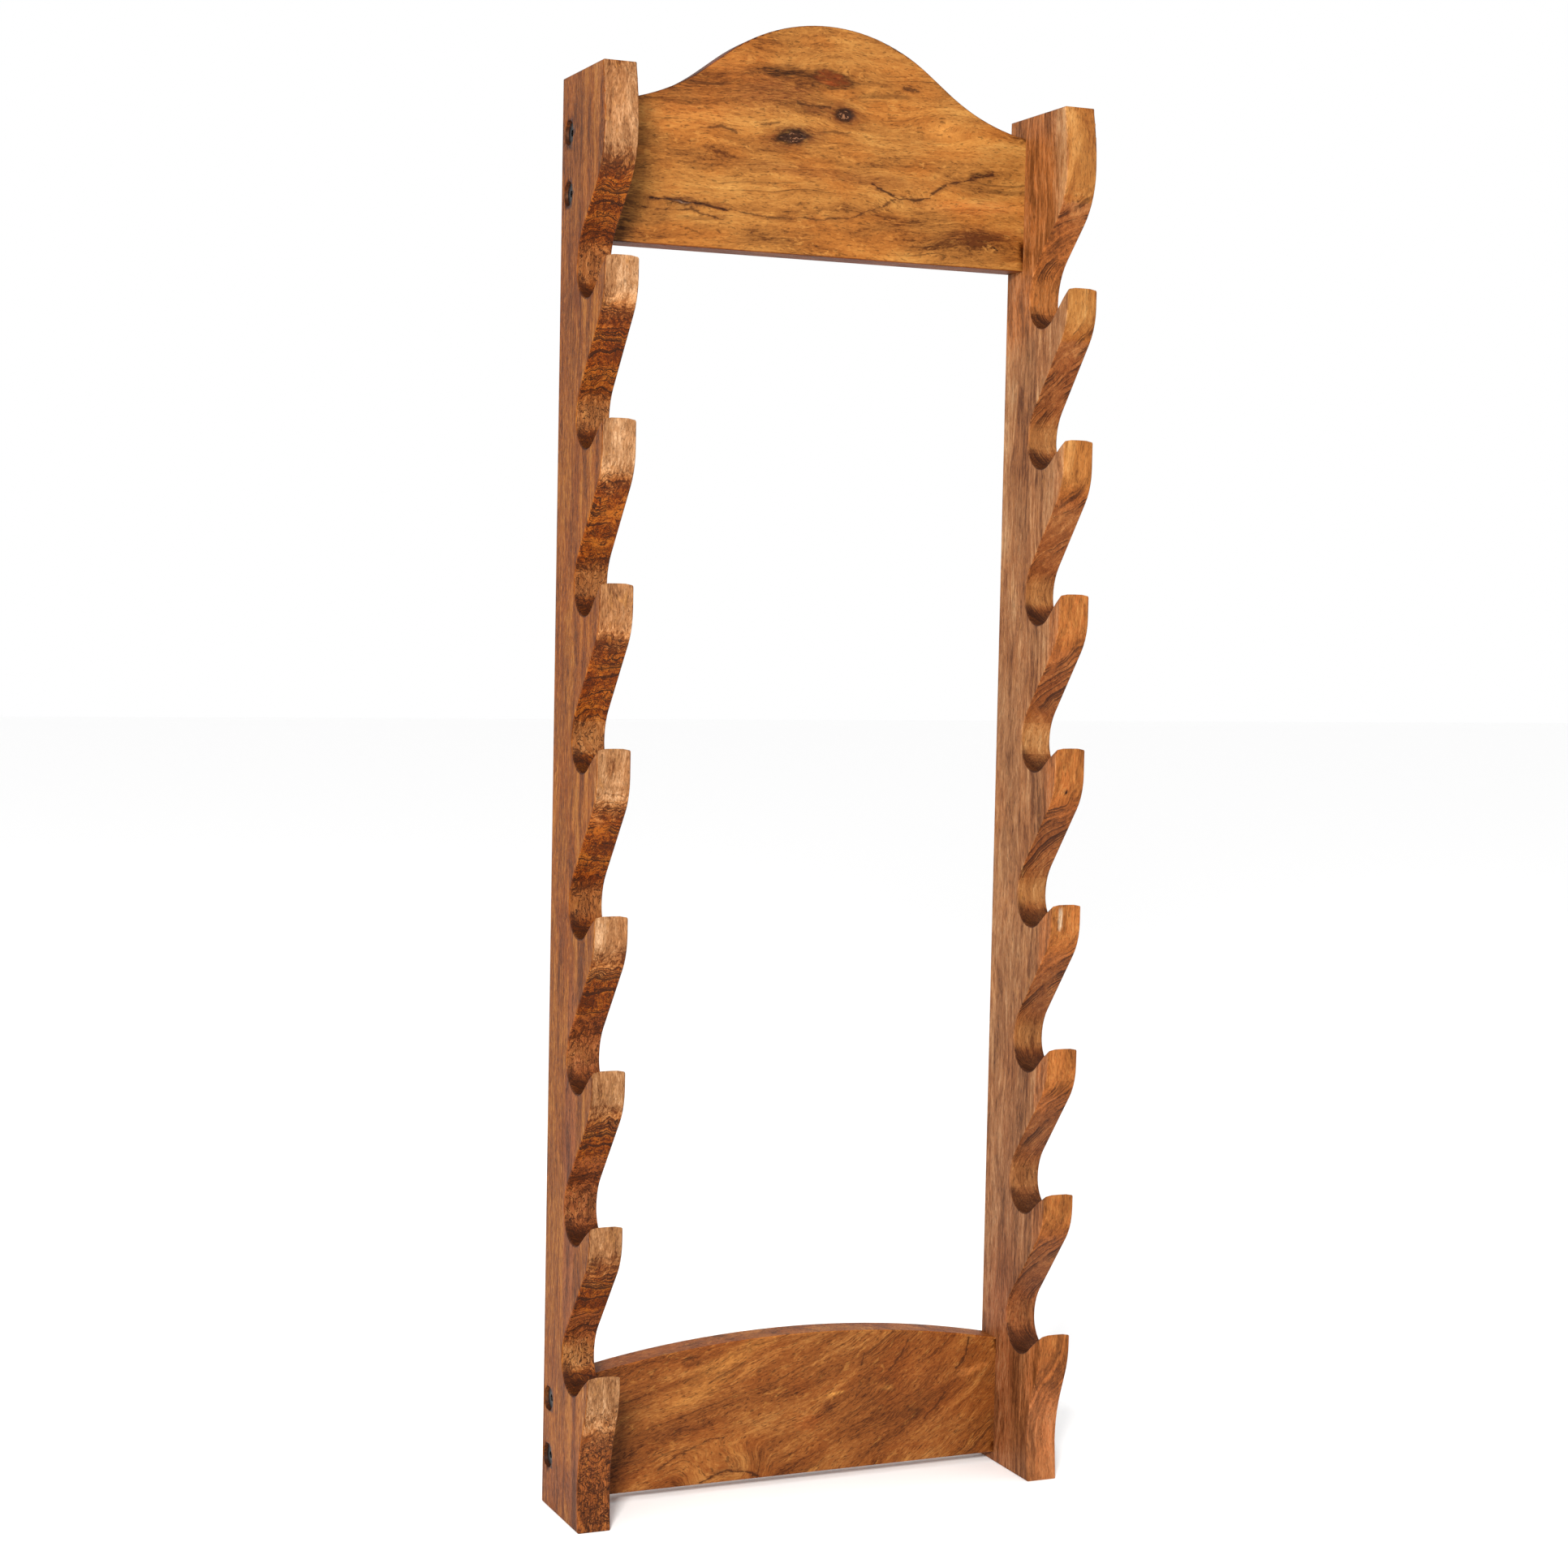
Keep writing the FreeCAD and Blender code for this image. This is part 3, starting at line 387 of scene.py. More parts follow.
def paint_cradle_shade(g, colour, plank, where, normal, fibre):
    """Painted shade on the floors of the notches, which face up; it is darkest at one edge."""
    along, across, through = g.separate(where)
    upward = g.vector("DOT_PRODUCT", normal, (0.0, 0.0, 1.0))
    upward = g.math("MULTIPLY_ADD", g.fade(through, 8.0, 1.0), 0.3, upward)
    floor = g.math("MULTIPLY", g.fade(upward, 0.25, 0.8), g.fade(across, 13.0, 20.0))
    floor = g.math("MULTIPLY", floor, g.fade(along, plank.length - 20.0, plank.length - 40.0))
    return g.blend(g.math("MULTIPLY", floor, g.fade(fibre, 0.7, 0.3, 0.6, 0.9)), colour, DARK)


def jagged_edges(g, seeded):
    """Two noises, coarse and fine, that make the edges of marks ragged."""
    jag = g.drift(g.vector("MULTIPLY", seeded, (0.07, 0.24, 0.24)), 1.0, 4.0)
    return jag, g.drift(g.vector("MULTIPLY", seeded, (0.45, 1.1, 1.1)), 1.0, 2.0)


def add_stains_and_shadows(g, colour, plank, where, edges, fibre, tone):
    """Soft ragged patches of another colour, which keep the wood's own figure; a few are painted shadow."""
    jag, fine_jag = edges
    push = g.vector("ADD", g.vector("MULTIPLY", jag, (16.0, 8.0, 8.0)), g.scaled(fine_jag, 1.4))
    ragged = g.vector("ADD", where, push)
    for centre, half, turn, tint, strength, soft in plank.stains_and_shadows:
        inside = g.fade(ellipsoid_distance(g, ragged, centre, half, turn), 1.0, 1.0 - soft)
        veined = g.math("MULTIPLY", inside, g.fade(fibre, 0.64, 0.40, strength * 0.45, strength))
        textured = g.scaled(tint[:3], g.fade(tone, 0.2, 0.8, 0.5, 1.5))
        colour = g.blend(veined, colour, textured)
    return colour


def add_knots_and_veins(g, colour, plank, where, seeded, edges, fibre):
    """The plank's knots, then its thin dark lines, which are broken and wander a little."""
    jag, fine_jag = edges
    push = g.vector("ADD", g.vector("MULTIPLY", jag, (9.0, 5.0, 5.0)), g.scaled(fine_jag, 2.0))
    close = g.vector("ADD", where, push)
    for centre, half, turn in plank.knots:
        colour = add_knot(g, colour, close, fibre, centre, half, turn)
    if plank.veins:
        flat = g.vector("ADD", where, g.vector("MULTIPLY", jag, (0.0, 6.0, 0.0)))
        flat = g.vector("MULTIPLY", flat, (1.0, 1.0, 0.0))
        flat = g.vector("ADD", flat, g.vector("MULTIPLY", fine_jag, (1.0, 1.6, 0.0)))
        broken = g.noise(g.vector("MULTIPLY", seeded, (0.11, 0.3, 0.3)), 1.0, 3.0, 0.6)
        for points, width, strength in plank.veins:
            colour = add_vein(g, colour, flat, broken, points, width, strength)
    return colour


def facing_axis(g, normal, axis):
    """How squarely a surface faces along one of the rack's axes, from 0 to 1."""
    direction = [0.0, 0.0, 0.0]
    direction[axis] = 1.0
    return g.math("ABSOLUTE", g.vector("DOT_PRODUCT", normal, tuple(direction)))


def wood_material(name, plank):
    g = Graph(name)
    look = plank.look
    where = plank_coordinates(g, plank)
    seeded = g.vector("ADD", where, (plank.seed, plank.seed * 0.37, plank.seed * 0.61))
    grain = grain_coordinates(g, plank, where, seeded)
    ring = ring_distance(g, plank, grain)
    grain = g.vector("ADD", grain, (plank.seed * 1.7, plank.seed * 0.9, plank.seed * 0.3))
    fibre = g.noise(g.vector("MULTIPLY", grain, (0.12, 1.3, 1.3)), 1.0, 3.0, 0.65)
    normal = g.nodes.new("ShaderNodeNewGeometry").outputs["Normal"]
    cross_cut = g.fade(facing_axis(g, normal, plank.axes[0]), 0.14, 0.60)
    on_side = g.fade(facing_axis(g, normal, plank.axes[2]), 0.4, 0.8)
    off_side = g.math("SUBTRACT", 1.0, on_side)
    tone = wood_tone(g, plank, grain, ring, fibre)
    contrast = g.math("MULTIPLY_ADD", cross_cut, look["cross_contrast"], 1.0)
    contrast = g.math("MULTIPLY_ADD", on_side, look["side_contrast"], contrast)
    tone = g.math("MULTIPLY_ADD", g.math("SUBTRACT", tone, 0.5), contrast, 0.5)
    colour = g.ramp(tone, plank.palette)

    jagged = g.drift(g.vector("MULTIPLY", seeded, (0.06, 0.2, 0.2)), 1.0, 4.0)
    if "sap_depth" in look:
        # paler sapwood in front of a ragged line, which runs deeper in the top block
        along, across, through = g.separate(g.vector("ADD", where, g.scaled(jagged, look["sap_rag"])))
        above = g.math("MAXIMUM", g.math("SUBTRACT", along, plank.length - TOP_BLOCK), 0.0)
        across = g.math("MULTIPLY_ADD", above, -SAP_LEAN, across)
        sap = g.fade(across, look["sap_depth"] + look["sap_blur"], look["sap_depth"] - look["sap_blur"])
        sap = g.math("MULTIPLY", sap, g.math("MULTIPLY_ADD", off_side, 0.85, 0.15))
        colour = g.blend(sap, colour, g.ramp(tone, look["sap_palette"]))
        # the backs of the notches that face the front are made paler: partly the pale flame of grain cut
        # square on, partly painted light
        depth = g.separate(where)[1]
        facing = g.fade(facing_axis(g, normal, plank.axes[1]), 0.80, 0.97)
        back = g.math("MULTIPLY", g.fade(depth, 34.0, 41.0), facing)
        colour = g.blend(g.math("MULTIPLY", back, look["flame_and_light"]), colour, g.ramp(tone, look["sap_palette"]))

    # the wood is redder in places
    redder = g.noise(g.vector("MULTIPLY", seeded, (0.018, 0.04, 0.04)), 1.0, 3.0)
    red = g.vector("MULTIPLY", colour, (0.98, 0.80, 0.62))
    colour = g.blend(g.fade(redder, 0.42, 0.62, 0.0, look["red_strength"]), colour, red)

    # small golden flecks where the grain turns
    gild = g.noise(g.vector("MULTIPLY", grain, (0.10, 0.24, 0.24)), 1.0, 3.0, 0.62, 0.9)
    colour = g.blend(g.fade(gild, 0.58, 0.70, 0.0, look["gild"]), colour, GOLD)

    # painted shade and painted light: the faces along the boards' top and bottom edges are darkened on the
    # crest and brightened on the lower board
    if "painted_edge_light" in look:
        on_edge = g.fade(facing_axis(g, normal, plank.axes[1]), 0.3, 0.8)
        colour = g.blend(on_edge, colour, g.vector("MULTIPLY", colour, look["painted_edge_light"]))

    # end grain drinks more oil and is darker; the darkening is also painted shade on these faces, such as
    # the notches' sweeps and the crest's sloping top edges
    colour = g.blend(cross_cut, colour, g.vector("MULTIPLY", colour, look["end_tint_and_shade"]))

    edges = jagged_edges(g, seeded)
    colour = add_stains_and_shadows(g, colour, plank, where, edges, fibre, tone)

    # dark growth lines and squiggles that come and go
    patch = g.noise(g.vector("MULTIPLY", seeded, (0.016, 0.05, 0.05)), 1.0, 3.0)
    lines = thin_lines(g, g.bands(ring, 1.0 / look["line_gap"], 2.0), look["line_width"])
    lines = g.math("MULTIPLY", lines, g.fade(patch, look["line_rarity"], look["line_rarity"] + 0.12))
    if plank.axes == UPRIGHT_AXES:
        lines = g.math("MULTIPLY", lines, g.math("MULTIPLY_ADD", cross_cut, 0.85, 0.15))
    colour = g.blend(g.math("MULTIPLY", lines, look["line_strength"]), colour, DARK)
    if look["squiggle_strength"]:
        curl = g.noise(g.vector("MULTIPLY", grain, look["squiggle_scale"]), 1.0, 3.0, 0.6, 0.8)
        squiggles = thin_lines(g, curl, look["squiggle_width"])
        patch = g.noise(g.vector("MULTIPLY", grain, (0.03, 0.06, 0.06)), 1.0, 2.0)
        rarity = look["squiggle_rarity"]
        squiggles = g.math("MULTIPLY", squiggles, g.fade(patch, rarity, rarity + 0.08))
        if plank.axes == UPRIGHT_AXES:
            # pale wood carries few of them, and a foot may carry bold ones
            calm = g.math("MULTIPLY", sap, g.fade(along, FOOT_TOP, FOOT_TOP + FOOT_BLUR))
            squiggles = g.math("MULTIPLY", squiggles, g.math("MULTIPLY_ADD", calm, -0.72, 1.0))
            scrawl = g.noise(g.vector("MULTIPLY", seeded, (0.16, 0.16, 0.16)), 1.0, 3.0, 0.62, 1.2)
            on_foot = g.fade(along, FOOT_TOP, FOOT_TOP - FOOT_BLUR)
            scrawl = g.math("MULTIPLY", thin_lines(g, scrawl, 0.055), on_foot)
            squiggles = g.math("MAXIMUM", squiggles, g.math("MULTIPLY", scrawl, look["foot_scrawl"]))
            squiggles = g.math("MULTIPLY", squiggles, off_side)
        colour = g.blend(g.math("MULTIPLY", squiggles, look["squiggle_strength"]), colour, DARK)

    colour = add_knots_and_veins(g, colour, plank, where, seeded, edges, fibre)
    if plank.axes == UPRIGHT_AXES:
        # painted shade on the notch floors
        colour = paint_cradle_shade(g, colour, plank, where, normal, fibre)
        # painted shade in the counterbores
        colour = paint_bore_shade(g, colour, plank, where)

    # open pores and hair-fine fibres
    hair = g.noise(g.vector("MULTIPLY", seeded, (0.35, 2.6, 2.6)), 1.0, 3.0, 0.7)
    pores = g.fade(g.noise(g.vector("MULTIPLY", grain, (0.24, 1.2, 1.2)), 1.0, 2.0), 0.42, 0.33)
    shade = g.math("MULTIPLY_ADD", g.math("SUBTRACT", hair, 0.5), look["hair"], 1.0)
    shade = g.math("MULTIPLY", shade, g.math("MULTIPLY_ADD", pores, -look["pore_strength"], 1.0))
    colour = g.scaled(colour, shade)

    g.links.new(colour, g.shader.inputs["Base Color"])
    g.links.new(g.fade(fibre, 0.25, 0.75, 0.60, 0.44), g.shader.inputs["Roughness"])
    height = g.math("MULTIPLY_ADD", pores, -1.0, g.math("MULTIPLY", hair, 0.7))
    bump = g.node("ShaderNodeBump", {"Strength": 0.6, "Distance": 0.00014, "Height": height})
    g.links.new(bump.outputs["Normal"], g.shader.inputs["Normal"])
    g.shader.inputs["IOR"].default_value = 1.46
    g.shader.inputs["Specular IOR Level"].default_value = look["gloss"]
    return g.material


def metal_material(name, colour, rough, scale=900.0):
    g = Graph(name)
    place = g.nodes.new("ShaderNodeTexCoord").outputs["Object"]
    grime = g.noise(place, scale * 0.25, 3.0)
    grain = g.noise(place, scale, 3.0, 0.6)
    darker = tuple(value * 0.62 for value in colour[:3]) + (1.0,)
    g.links.new(g.blend(g.fade(grime, 0.35, 0.65), darker, colour), g.shader.inputs["Base Color"])
    g.links.new(g.fade(grain, 0.3, 0.7, rough - 0.08, rough + 0.10), g.shader.inputs["Roughness"])
    bump = g.node("ShaderNodeBump", {"Strength": 0.2, "Distance": 0.00005, "Height": grain})
    g.links.new(bump.outputs["Normal"], g.shader.inputs["Normal"])
    g.shader.inputs["Metallic"].default_value = 1.0
    return g.material


DARK = srgb(42, 19, 7)
BLACK = srgb(22, 12, 7)
GREY = srgb(112, 98, 82)
HEART = srgb(44, 24, 13)
SPLINTER = srgb(124, 84, 58)
RED = srgb(112, 50, 16)
BROWN = srgb(82, 40, 15)
GOLD = srgb(162, 110, 52)
PALE = srgb(196, 160, 106)

# the light that falls on a face to the front, and on a face to the side
FRONT_LIGHT = 1.90
SIDE_LIGHT = 1.66


def shades(light, dark, body, pale):
    """A ramp from a wood's dark figure, over its body, to its pale figure, as seen under a light."""

    def mixed(first, second, share):
        return [low + (high - low) * share for low, high in zip(first, second)]

    colours = (
        (0.14, dark),
        (0.30, mixed(dark, body, 0.65)),
        (0.50, body),
        (0.70, mixed(body, pale, 0.5)),
        (0.86, pale),
    )
    ramp = []
    for place, colour in colours:
        red, green, blue, alpha = srgb(*colour)
        ramp.append((place, (red / light, green / light, blue / light, alpha)))
    return ramp


HONEY = shades(FRONT_LIGHT, (100, 55, 20), (178, 115, 52), (212, 152, 78))
RUSSET = shades(FRONT_LIGHT, (95, 48, 17), (150, 85, 36), (190, 126, 64))
CHESTNUT = shades(SIDE_LIGHT, (100, 50, 15), (148, 81, 23), (185, 117, 46))
ROSY = shades(SIDE_LIGHT, (110, 65, 35), (165, 110, 68), (205, 155, 108))
FLAXEN = shades(FRONT_LIGHT, (112, 66, 34), (176, 124, 80), (228, 178, 132))
AMBER = shades(FRONT_LIGHT, (115, 62, 24), (180, 118, 57), (220, 160, 92))

UPRIGHT_AXES = (2, 1, 0)
BOARD_AXES = (0, 2, 1)

PLANKS = [
    Plank(
        "left_upright", "upright_wood", UPRIGHT_AXES, (0.0, 150.0, 16.0), (1.0, 0.01, 0.0), CHESTNUT,
        {
            "wrinkle": 7.0, "ring_gap": 9.0, "ring_weight": 0.6, "fine_weight": 0.45, "fleck_weight": 0.9,
            "fleck_scale": (0.22, 0.8, 0.8), "cross_contrast": 1.1,
            "line_gap": 3.0, "line_width": 0.06, "line_rarity": 0.34, "line_strength": 0.9,
            "squiggle_rarity": 0.33, "squiggle_strength": 0.95, "squiggle_width": 0.036,
            "squiggle_scale": (0.16, 0.30, 0.30),
            "sap_depth": 8.0, "sap_blur": 7.0, "sap_rag": 20.0, "sap_palette": FLAXEN,
            "side_contrast": 0.45, "hair": 1.3, "gild": 0.25, "flame_and_light": 0.35, "foot_scrawl": 1.0,
            "end_tint_and_shade": (0.92, 0.70, 0.44),
        },
        310.0,
        stains_and_shadows=(
            ((18.0, 0.0, 10.0), (46.0, 34.0, THROUGH), 0.0, srgb(100, 52, 24), 0.9, 0.25),
            ((18.0, 70.0, 10.0), (20.0, 60.0, THROUGH), 0.0, srgb(96, 46, 20), 0.5, 0.8),
            ((210.0, 38.0, 10.0), (150.0, 13.0, THROUGH), 0.0, srgb(100, 50, 24), 0.85, 0.3),
            ((870.0, 66.0, 0.0), (340.0, 58.0, THROUGH), 0.0, BROWN, 0.62, 0.9),
        ),
    ),
    Plank(
        "right_upright", "upright_wood", UPRIGHT_AXES, (0.0, 62.0, 50.0), (1.0, 0.02, 0.01), ROSY,
        {
            "wrinkle": 4.0, "ring_gap": 12.0, "ring_weight": 0.55, "fine_weight": 0.5,
            "line_gap": 6.5, "line_width": 0.045, "line_rarity": 0.42, "line_strength": 0.85,
            "squiggle_rarity": 0.52, "squiggle_strength": 0.6,
            "sap_depth": 7.0, "sap_blur": 1.0, "sap_rag": 5.0, "sap_palette": AMBER,
            "foot_scrawl": 0.0,
            "cross_contrast": 0.15, "side_contrast": 0.5, "hair": 1.1, "gild": 0.2, "flame_and_light": 0.5,
            "end_tint_and_shade": (0.78, 0.56, 0.36),
        },
        870.0,
        bows=(
            ((445.0, 4.0, 8.0), (34.0, 14.0, 14.0), 0.8),
            ((526.0, 6.0, 6.0), (34.0, 14.0, 14.0), 0.8),
        ),
        stains_and_shadows=(
            ((820.0, 66.0, 0.0), (110.0, 54.0, THROUGH), 0.0, srgb(134, 74, 29), 0.8, 0.25),
            ((150.0, 50.0, 0.0), (210.0, 60.0, THROUGH), 0.0, srgb(98, 54, 29), 0.62, 0.9),
            ((44.0, 4.0, 0.0), (70.0, 30.0, THROUGH), 0.0, srgb(140, 78, 40), 0.75, 0.6),
            ((60.0, 56.0, 0.0), (115.0, 40.0, THROUGH), 0.0, srgb(104, 52, 24), 0.75, 0.6),
            ((330.0, 4.0, 0.0), (400.0, 16.0, THROUGH), 0.0, srgb(122, 66, 27), 0.85, 0.4),
            ((452.0, 4.0, 8.0), (11.0, 8.0, 4.0), 0.0, RED, 0.6, 0.9),
            ((445.0, 4.0, 8.0), (3.4, 4.0, 2.2), 0.0, BLACK, 0.9, 0.6),
            ((526.0, 6.0, 6.0), (4.4, 5.0, 2.6), 0.0, BLACK, 0.85, 0.7),
            ((380.0, 41.0, 0.0), (14.0, 2.6, 4.0), 0.0, PALE, 0.9, 0.5),
            ((363.0, 0.0, 6.0), (9.0, 4.0, 2.6), 0.0, srgb(196, 178, 150), 0.75, 0.9),
        ),
    ),
    Plank(
        "crest_board", "crest_wood", BOARD_AXES, (0.0, -260.0, 60.0), (1.0, 0.03, 0.02), HONEY,
        {
            "wander": 30.0, "ring_gap": 22.0, "ring_weight": 0.55, "fine_weight": 0.35, "cloud_weight": 1.3,
            "streak_weight": 0.5, "fleck_weight": 0.6, "fleck_scale": (0.3, 0.8, 0.8),
            "pore_strength": 0.45, "gild": 0.55, "painted_edge_light": (0.55, 0.34, 0.20),
            "line_gap": 13.0, "line_width": 0.02, "line_rarity": 0.52, "line_strength": 0.5,
            "squiggle_rarity": 0.56, "squiggle_strength": 0.35, "red_strength": 0.7,
            "end_tint_and_shade": (0.36, 0.23, 0.17),
        },
        140.0,
        bows=(
            ((146.0, 110.0, 0.0), (46.0, 22.0, THROUGH), 0.75),
            ((155.0, 88.0, 0.0), (22.0, 12.0, THROUGH), 0.85),
            ((121.0, 71.5, 0.0), (30.0, 13.0, THROUGH), 0.85),
            ((50.0, 26.0, 0.0), (50.0, 14.0, THROUGH), 0.7),
            ((205.0, 40.0, 0.0), (60.0, 20.0, THROUGH), 0.6),
            ((226.0, 84.0, 0.0), (30.0, 18.0, THROUGH), 0.8),
        ),
        stains_and_shadows=(
            # centre, half size, turn in degrees, colour, strength, softness
            ((60.0, 95.0, 0.0), (90.0, 36.0, THROUGH), 14.0, srgb(108, 54, 18), 0.6, 0.9),
            # painted shadow: the crest's left end is darkened beside the left upright
            ((4.0, 44.0, 0.0), (23.0, 80.0, THROUGH), 0.0, DARK, 0.72, 0.6),
            ((140.0, 51.0, 0.0), (120.0, 6.5, THROUGH), -2.0, BROWN, 0.6, 0.9),
            ((250.0, 38.0, 0.0), (60.0, 7.0, THROUGH), 3.0, srgb(122, 60, 22), 0.55, 0.9),
            ((112.0, 99.0, 0.0), (50.0, 20.0, THROUGH), 6.0, BROWN, 0.85, 0.85),
            ((112.0, 110.0, 0.0), (36.0, 5.0, THROUGH), 2.0, DARK, 0.9, 0.85),
            ((148.0, 109.0, 0.0), (19.0, 7.4, THROUGH), -4.0, DARK, 0.9, 0.45),
            ((147.0, 109.5, 0.0), (15.0, 5.2, THROUGH), -4.0, RED, 0.95, 0.5),
            ((136.0, 88.5, 0.0), (15.0, 5.0, THROUGH), 0.0, BROWN, 0.85, 0.9),
            ((48.0, 26.6, 0.0), (30.0, 3.4, THROUGH), -2.5, DARK, 0.95, 0.75),
            ((46.0, 26.8, 0.0), (13.0, 1.3, THROUGH), -2.5, GREY, 0.8, 0.8),
            ((252.0, 20.0, 0.0), (46.0, 8.0, THROUGH), 5.0, srgb(94, 44, 16), 0.8, 0.9),
            ((250.0, 58.0, 0.0), (12.0, 3.6, THROUGH), 10.0, DARK, 0.95, 0.8),
            ((262.4, 12.6, 0.0), (1.3, 1.3, THROUGH), 0.0, BLACK, 0.95, 0.4),
            ((190.0, 131.0, 0.0), (6.0, 2.2, THROUGH), -30.0, DARK, 0.7, 0.8),
            ((222.0, 84.0, 0.0), (18.0, 9.0, THROUGH), 10.0, GOLD, 0.6, 0.9),
            ((172.0, 101.0, 0.0), (14.0, 6.0, THROUGH), 20.0, GOLD, 0.6, 0.9),
        ),
        knots=(
            ((155.5, 88.0, 0.0), (6.4, 3.5, THROUGH), -8.0),
            ((121.0, 71.5, 0.0), (10.5, 3.9, THROUGH), 9.0),
        ),
        veins=(
            (((28.0, 28.0), (52.0, 27.0), (78.0, 24.5)), 1.1, 0.9),
            (((33.0, 20.5), (55.0, 23.5), (62.0, 20.0), (76.0, 18.5)), 0.7, 0.7),
            (
                ((74.0, 25.0), (108.0, 21.5), (140.0, 22.5), (163.0, 26.0), (181.0, 33.0), (192.0, 39.0)),
                0.8, 0.6,
            ),
            (((176.0, 47.0), (184.0, 43.0), (192.0, 40.0), (206.0, 39.5), (216.0, 41.5)), 1.2, 0.85),
            (((216.0, 43.5), (226.0, 50.0), (240.0, 54.0), (260.0, 60.0)), 1.0, 0.8),
            (((100.0, 78.0), (112.0, 79.5)), 0.7, 0.6),
            (((136.0, 75.5), (160.0, 77.5)), 0.8, 0.5),
            (((60.0, 72.0), (74.0, 74.0), (84.0, 71.0)), 0.9, 0.6),
            (((124.0, 92.5), (146.0, 91.0)), 1.0, 0.7),
            (((196.0, 108.0), (206.0, 106.5)), 1.1, 0.7),
        ),
    ),
    Plank(
        "lower_board", "lower_wood", BOARD_AXES, (0.0, -60.0, 30.0), (1.0, 0.0, 0.04), RUSSET,
        {
            "ring_gap": 15.0, "ring_weight": 0.25, "fine_weight": 0.25, "streak_weight": 0.28,
            "fleck_weight": 0.9, "fleck_scale": (0.30, 0.75, 0.75), "pore_strength": 0.5, "gild": 0.35,
            "painted_edge_light": (1.45, 1.45, 1.4), "cloud_weight": 1.4,
            "line_gap": 8.0, "line_width": 0.025, "line_rarity": 0.46, "line_strength": 0.5,
            "squiggle_rarity": 0.56, "squiggle_strength": 0.5,
        },
        560.0,
        flow=(0.34, 0.0017, 120.0),
        eddies=(((93.0, -6.0), 38.0),),
        stains_and_shadows=(
            # painted shadow: the lower board's left end is darkened beside the left upright
            ((8.0, 40.0, 0.0), (24.0, 70.0, THROUGH), 0.0, DARK, 0.65, 0.7),
            ((60.0, 36.0, 0.0), (28.0, 6.0, THROUGH), 6.0, BROWN, 0.8, 0.9),
            ((168.0, 49.0, 0.0), (9.0, 2.6, THROUGH), 10.0, GOLD, 0.8, 0.8),
            ((206.0, 50.0, 0.0), (8.0, 2.2, THROUGH), -6.0, GOLD, 0.7, 0.8),
            ((67.0, 80.5, 0.0), (7.0, 2.6, THROUGH), 20.0, BLACK, 0.85, 0.8),
            ((95.0, 78.0, 0.0), (52.0, 9.0, THROUGH), 24.0, GOLD, 0.42, 0.95),
            ((75.0, 58.0, 0.0), (46.0, 7.0, THROUGH), 24.0, GOLD, 0.36, 0.95),
            ((163.0, 42.0, 0.0), (8.0, 6.0, THROUGH), 0.0, BROWN, 0.8, 0.9),
            ((152.0, 33.0, 0.0), (18.0, 8.0, THROUGH), 0.0, RED, 0.45, 0.9),
            ((186.0, 51.0, 0.0), (15.0, 4.4, THROUGH), 4.0, srgb(152, 88, 40), 0.8, 0.9),
            ((264.0, 56.0, 0.0), (19.0, 4.0, THROUGH), 16.0, srgb(160, 98, 48), 0.85, 0.9),
            ((230.0, 40.0, 0.0), (64.0, 46.0, THROUGH), 0.0, srgb(98, 47, 17), 0.40, 0.9),
        ),
        veins=(
            (((76.0, 1.0), (84.0, 5.0), (94.0, 7.0), (106.0, 6.0), (116.0, 2.0)), 1.0, 0.8),
            (((48.0, 12.0), (62.0, 21.0), (78.0, 26.5), (92.0, 29.0)), 0.9, 0.6),
            (((206.0, 62.0), (214.0, 70.0), (219.0, 80.0)), 0.9, 0.6),
            (((254.0, 58.0), (261.0, 66.0), (263.0, 78.0)), 1.0, 0.75),
            (((232.0, 28.0), (240.0, 34.0), (248.0, 44.0)), 0.9, 0.6),
            (((186.0, 66.0), (188.0, 74.0)), 0.9, 0.6),
        ),
    ),
]


# ---------------------------------------------------------------- relief, in metres

# size of the cells that a plank's surface is cut into
CELL = 0.005
# how far a knot's heart sinks
KNOT_DEPTH = 0.0009
# waves left by sanding: how many to the metre, and how deep
WAVE_SCALE = 22.0
WAVE_DEPTH = 0.0004
# how far back, how far down and how much the corners of a lip's tip are rubbed away
LIP_THICKNESS = 0.0105
LIP_REACH = 0.006
LIP_ROUND = 0.0014
# how near the front a lip's tip lies, and the least height between two tips
TIP_DEPTH = 0.003
TIP_GAP = 0.012
# edges sharper than this stay sharp in the shading
SHARP_ANGLE = math.radians(40.0)


def refined_mesh(node, step):
    """A copy of a node's mesh cut into cells of about step, so that it can carry relief."""
    bm = bmesh.new()
    bm.from_mesh(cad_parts[node].data)
    bmesh.ops.remove_doubles(bm, verts=bm.verts, dist=1e-6)
    bmesh.ops.dissolve_limit(bm, angle_limit=math.radians(0.4), verts=bm.verts, edges=bm.edges)
    low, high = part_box(node)
    for axis in range(3):
        count = max(1, round((high[axis] - low[axis]) / step))
        for index in range(1, count):
            place = [0.0, 0.0, 0.0]
            place[axis] = low[axis] + (high[axis] - low[axis]) * index / count
            across = [0.0, 0.0, 0.0]
            across[axis] = 1.0
            geometry = bm.verts[:] + bm.edges[:] + bm.faces[:]
            bmesh.ops.bisect_plane(bm, geom=geometry, plane_co=place, plane_no=across, dist=1e-6)
    return bm


def plank_place(plank, point):
    """A point in the plank's own millimetres: along the grain, across it, and through it."""
    return Vector([(point[axis] - plank.origin[axis]) * 1000.0 for axis in plank.axes])


def knot_gap(plank, point, knot):
    """How far a point is from a knot's centre, as a share of the knot's radius that way."""
    centre, half, turn = knot
    out = plank_place(plank, point) - Vector(centre)
    out.rotate(Matrix.Rotation(math.radians(-turn), 3, "Z"))
    return Vector([distance / reach for distance, reach in zip(out, half)]).length


def smooth_share(value, low, high):
    share = min(1.0, max(0.0, (value - low) / (high - low)))
    return share * share * (3.0 - 2.0 * share)


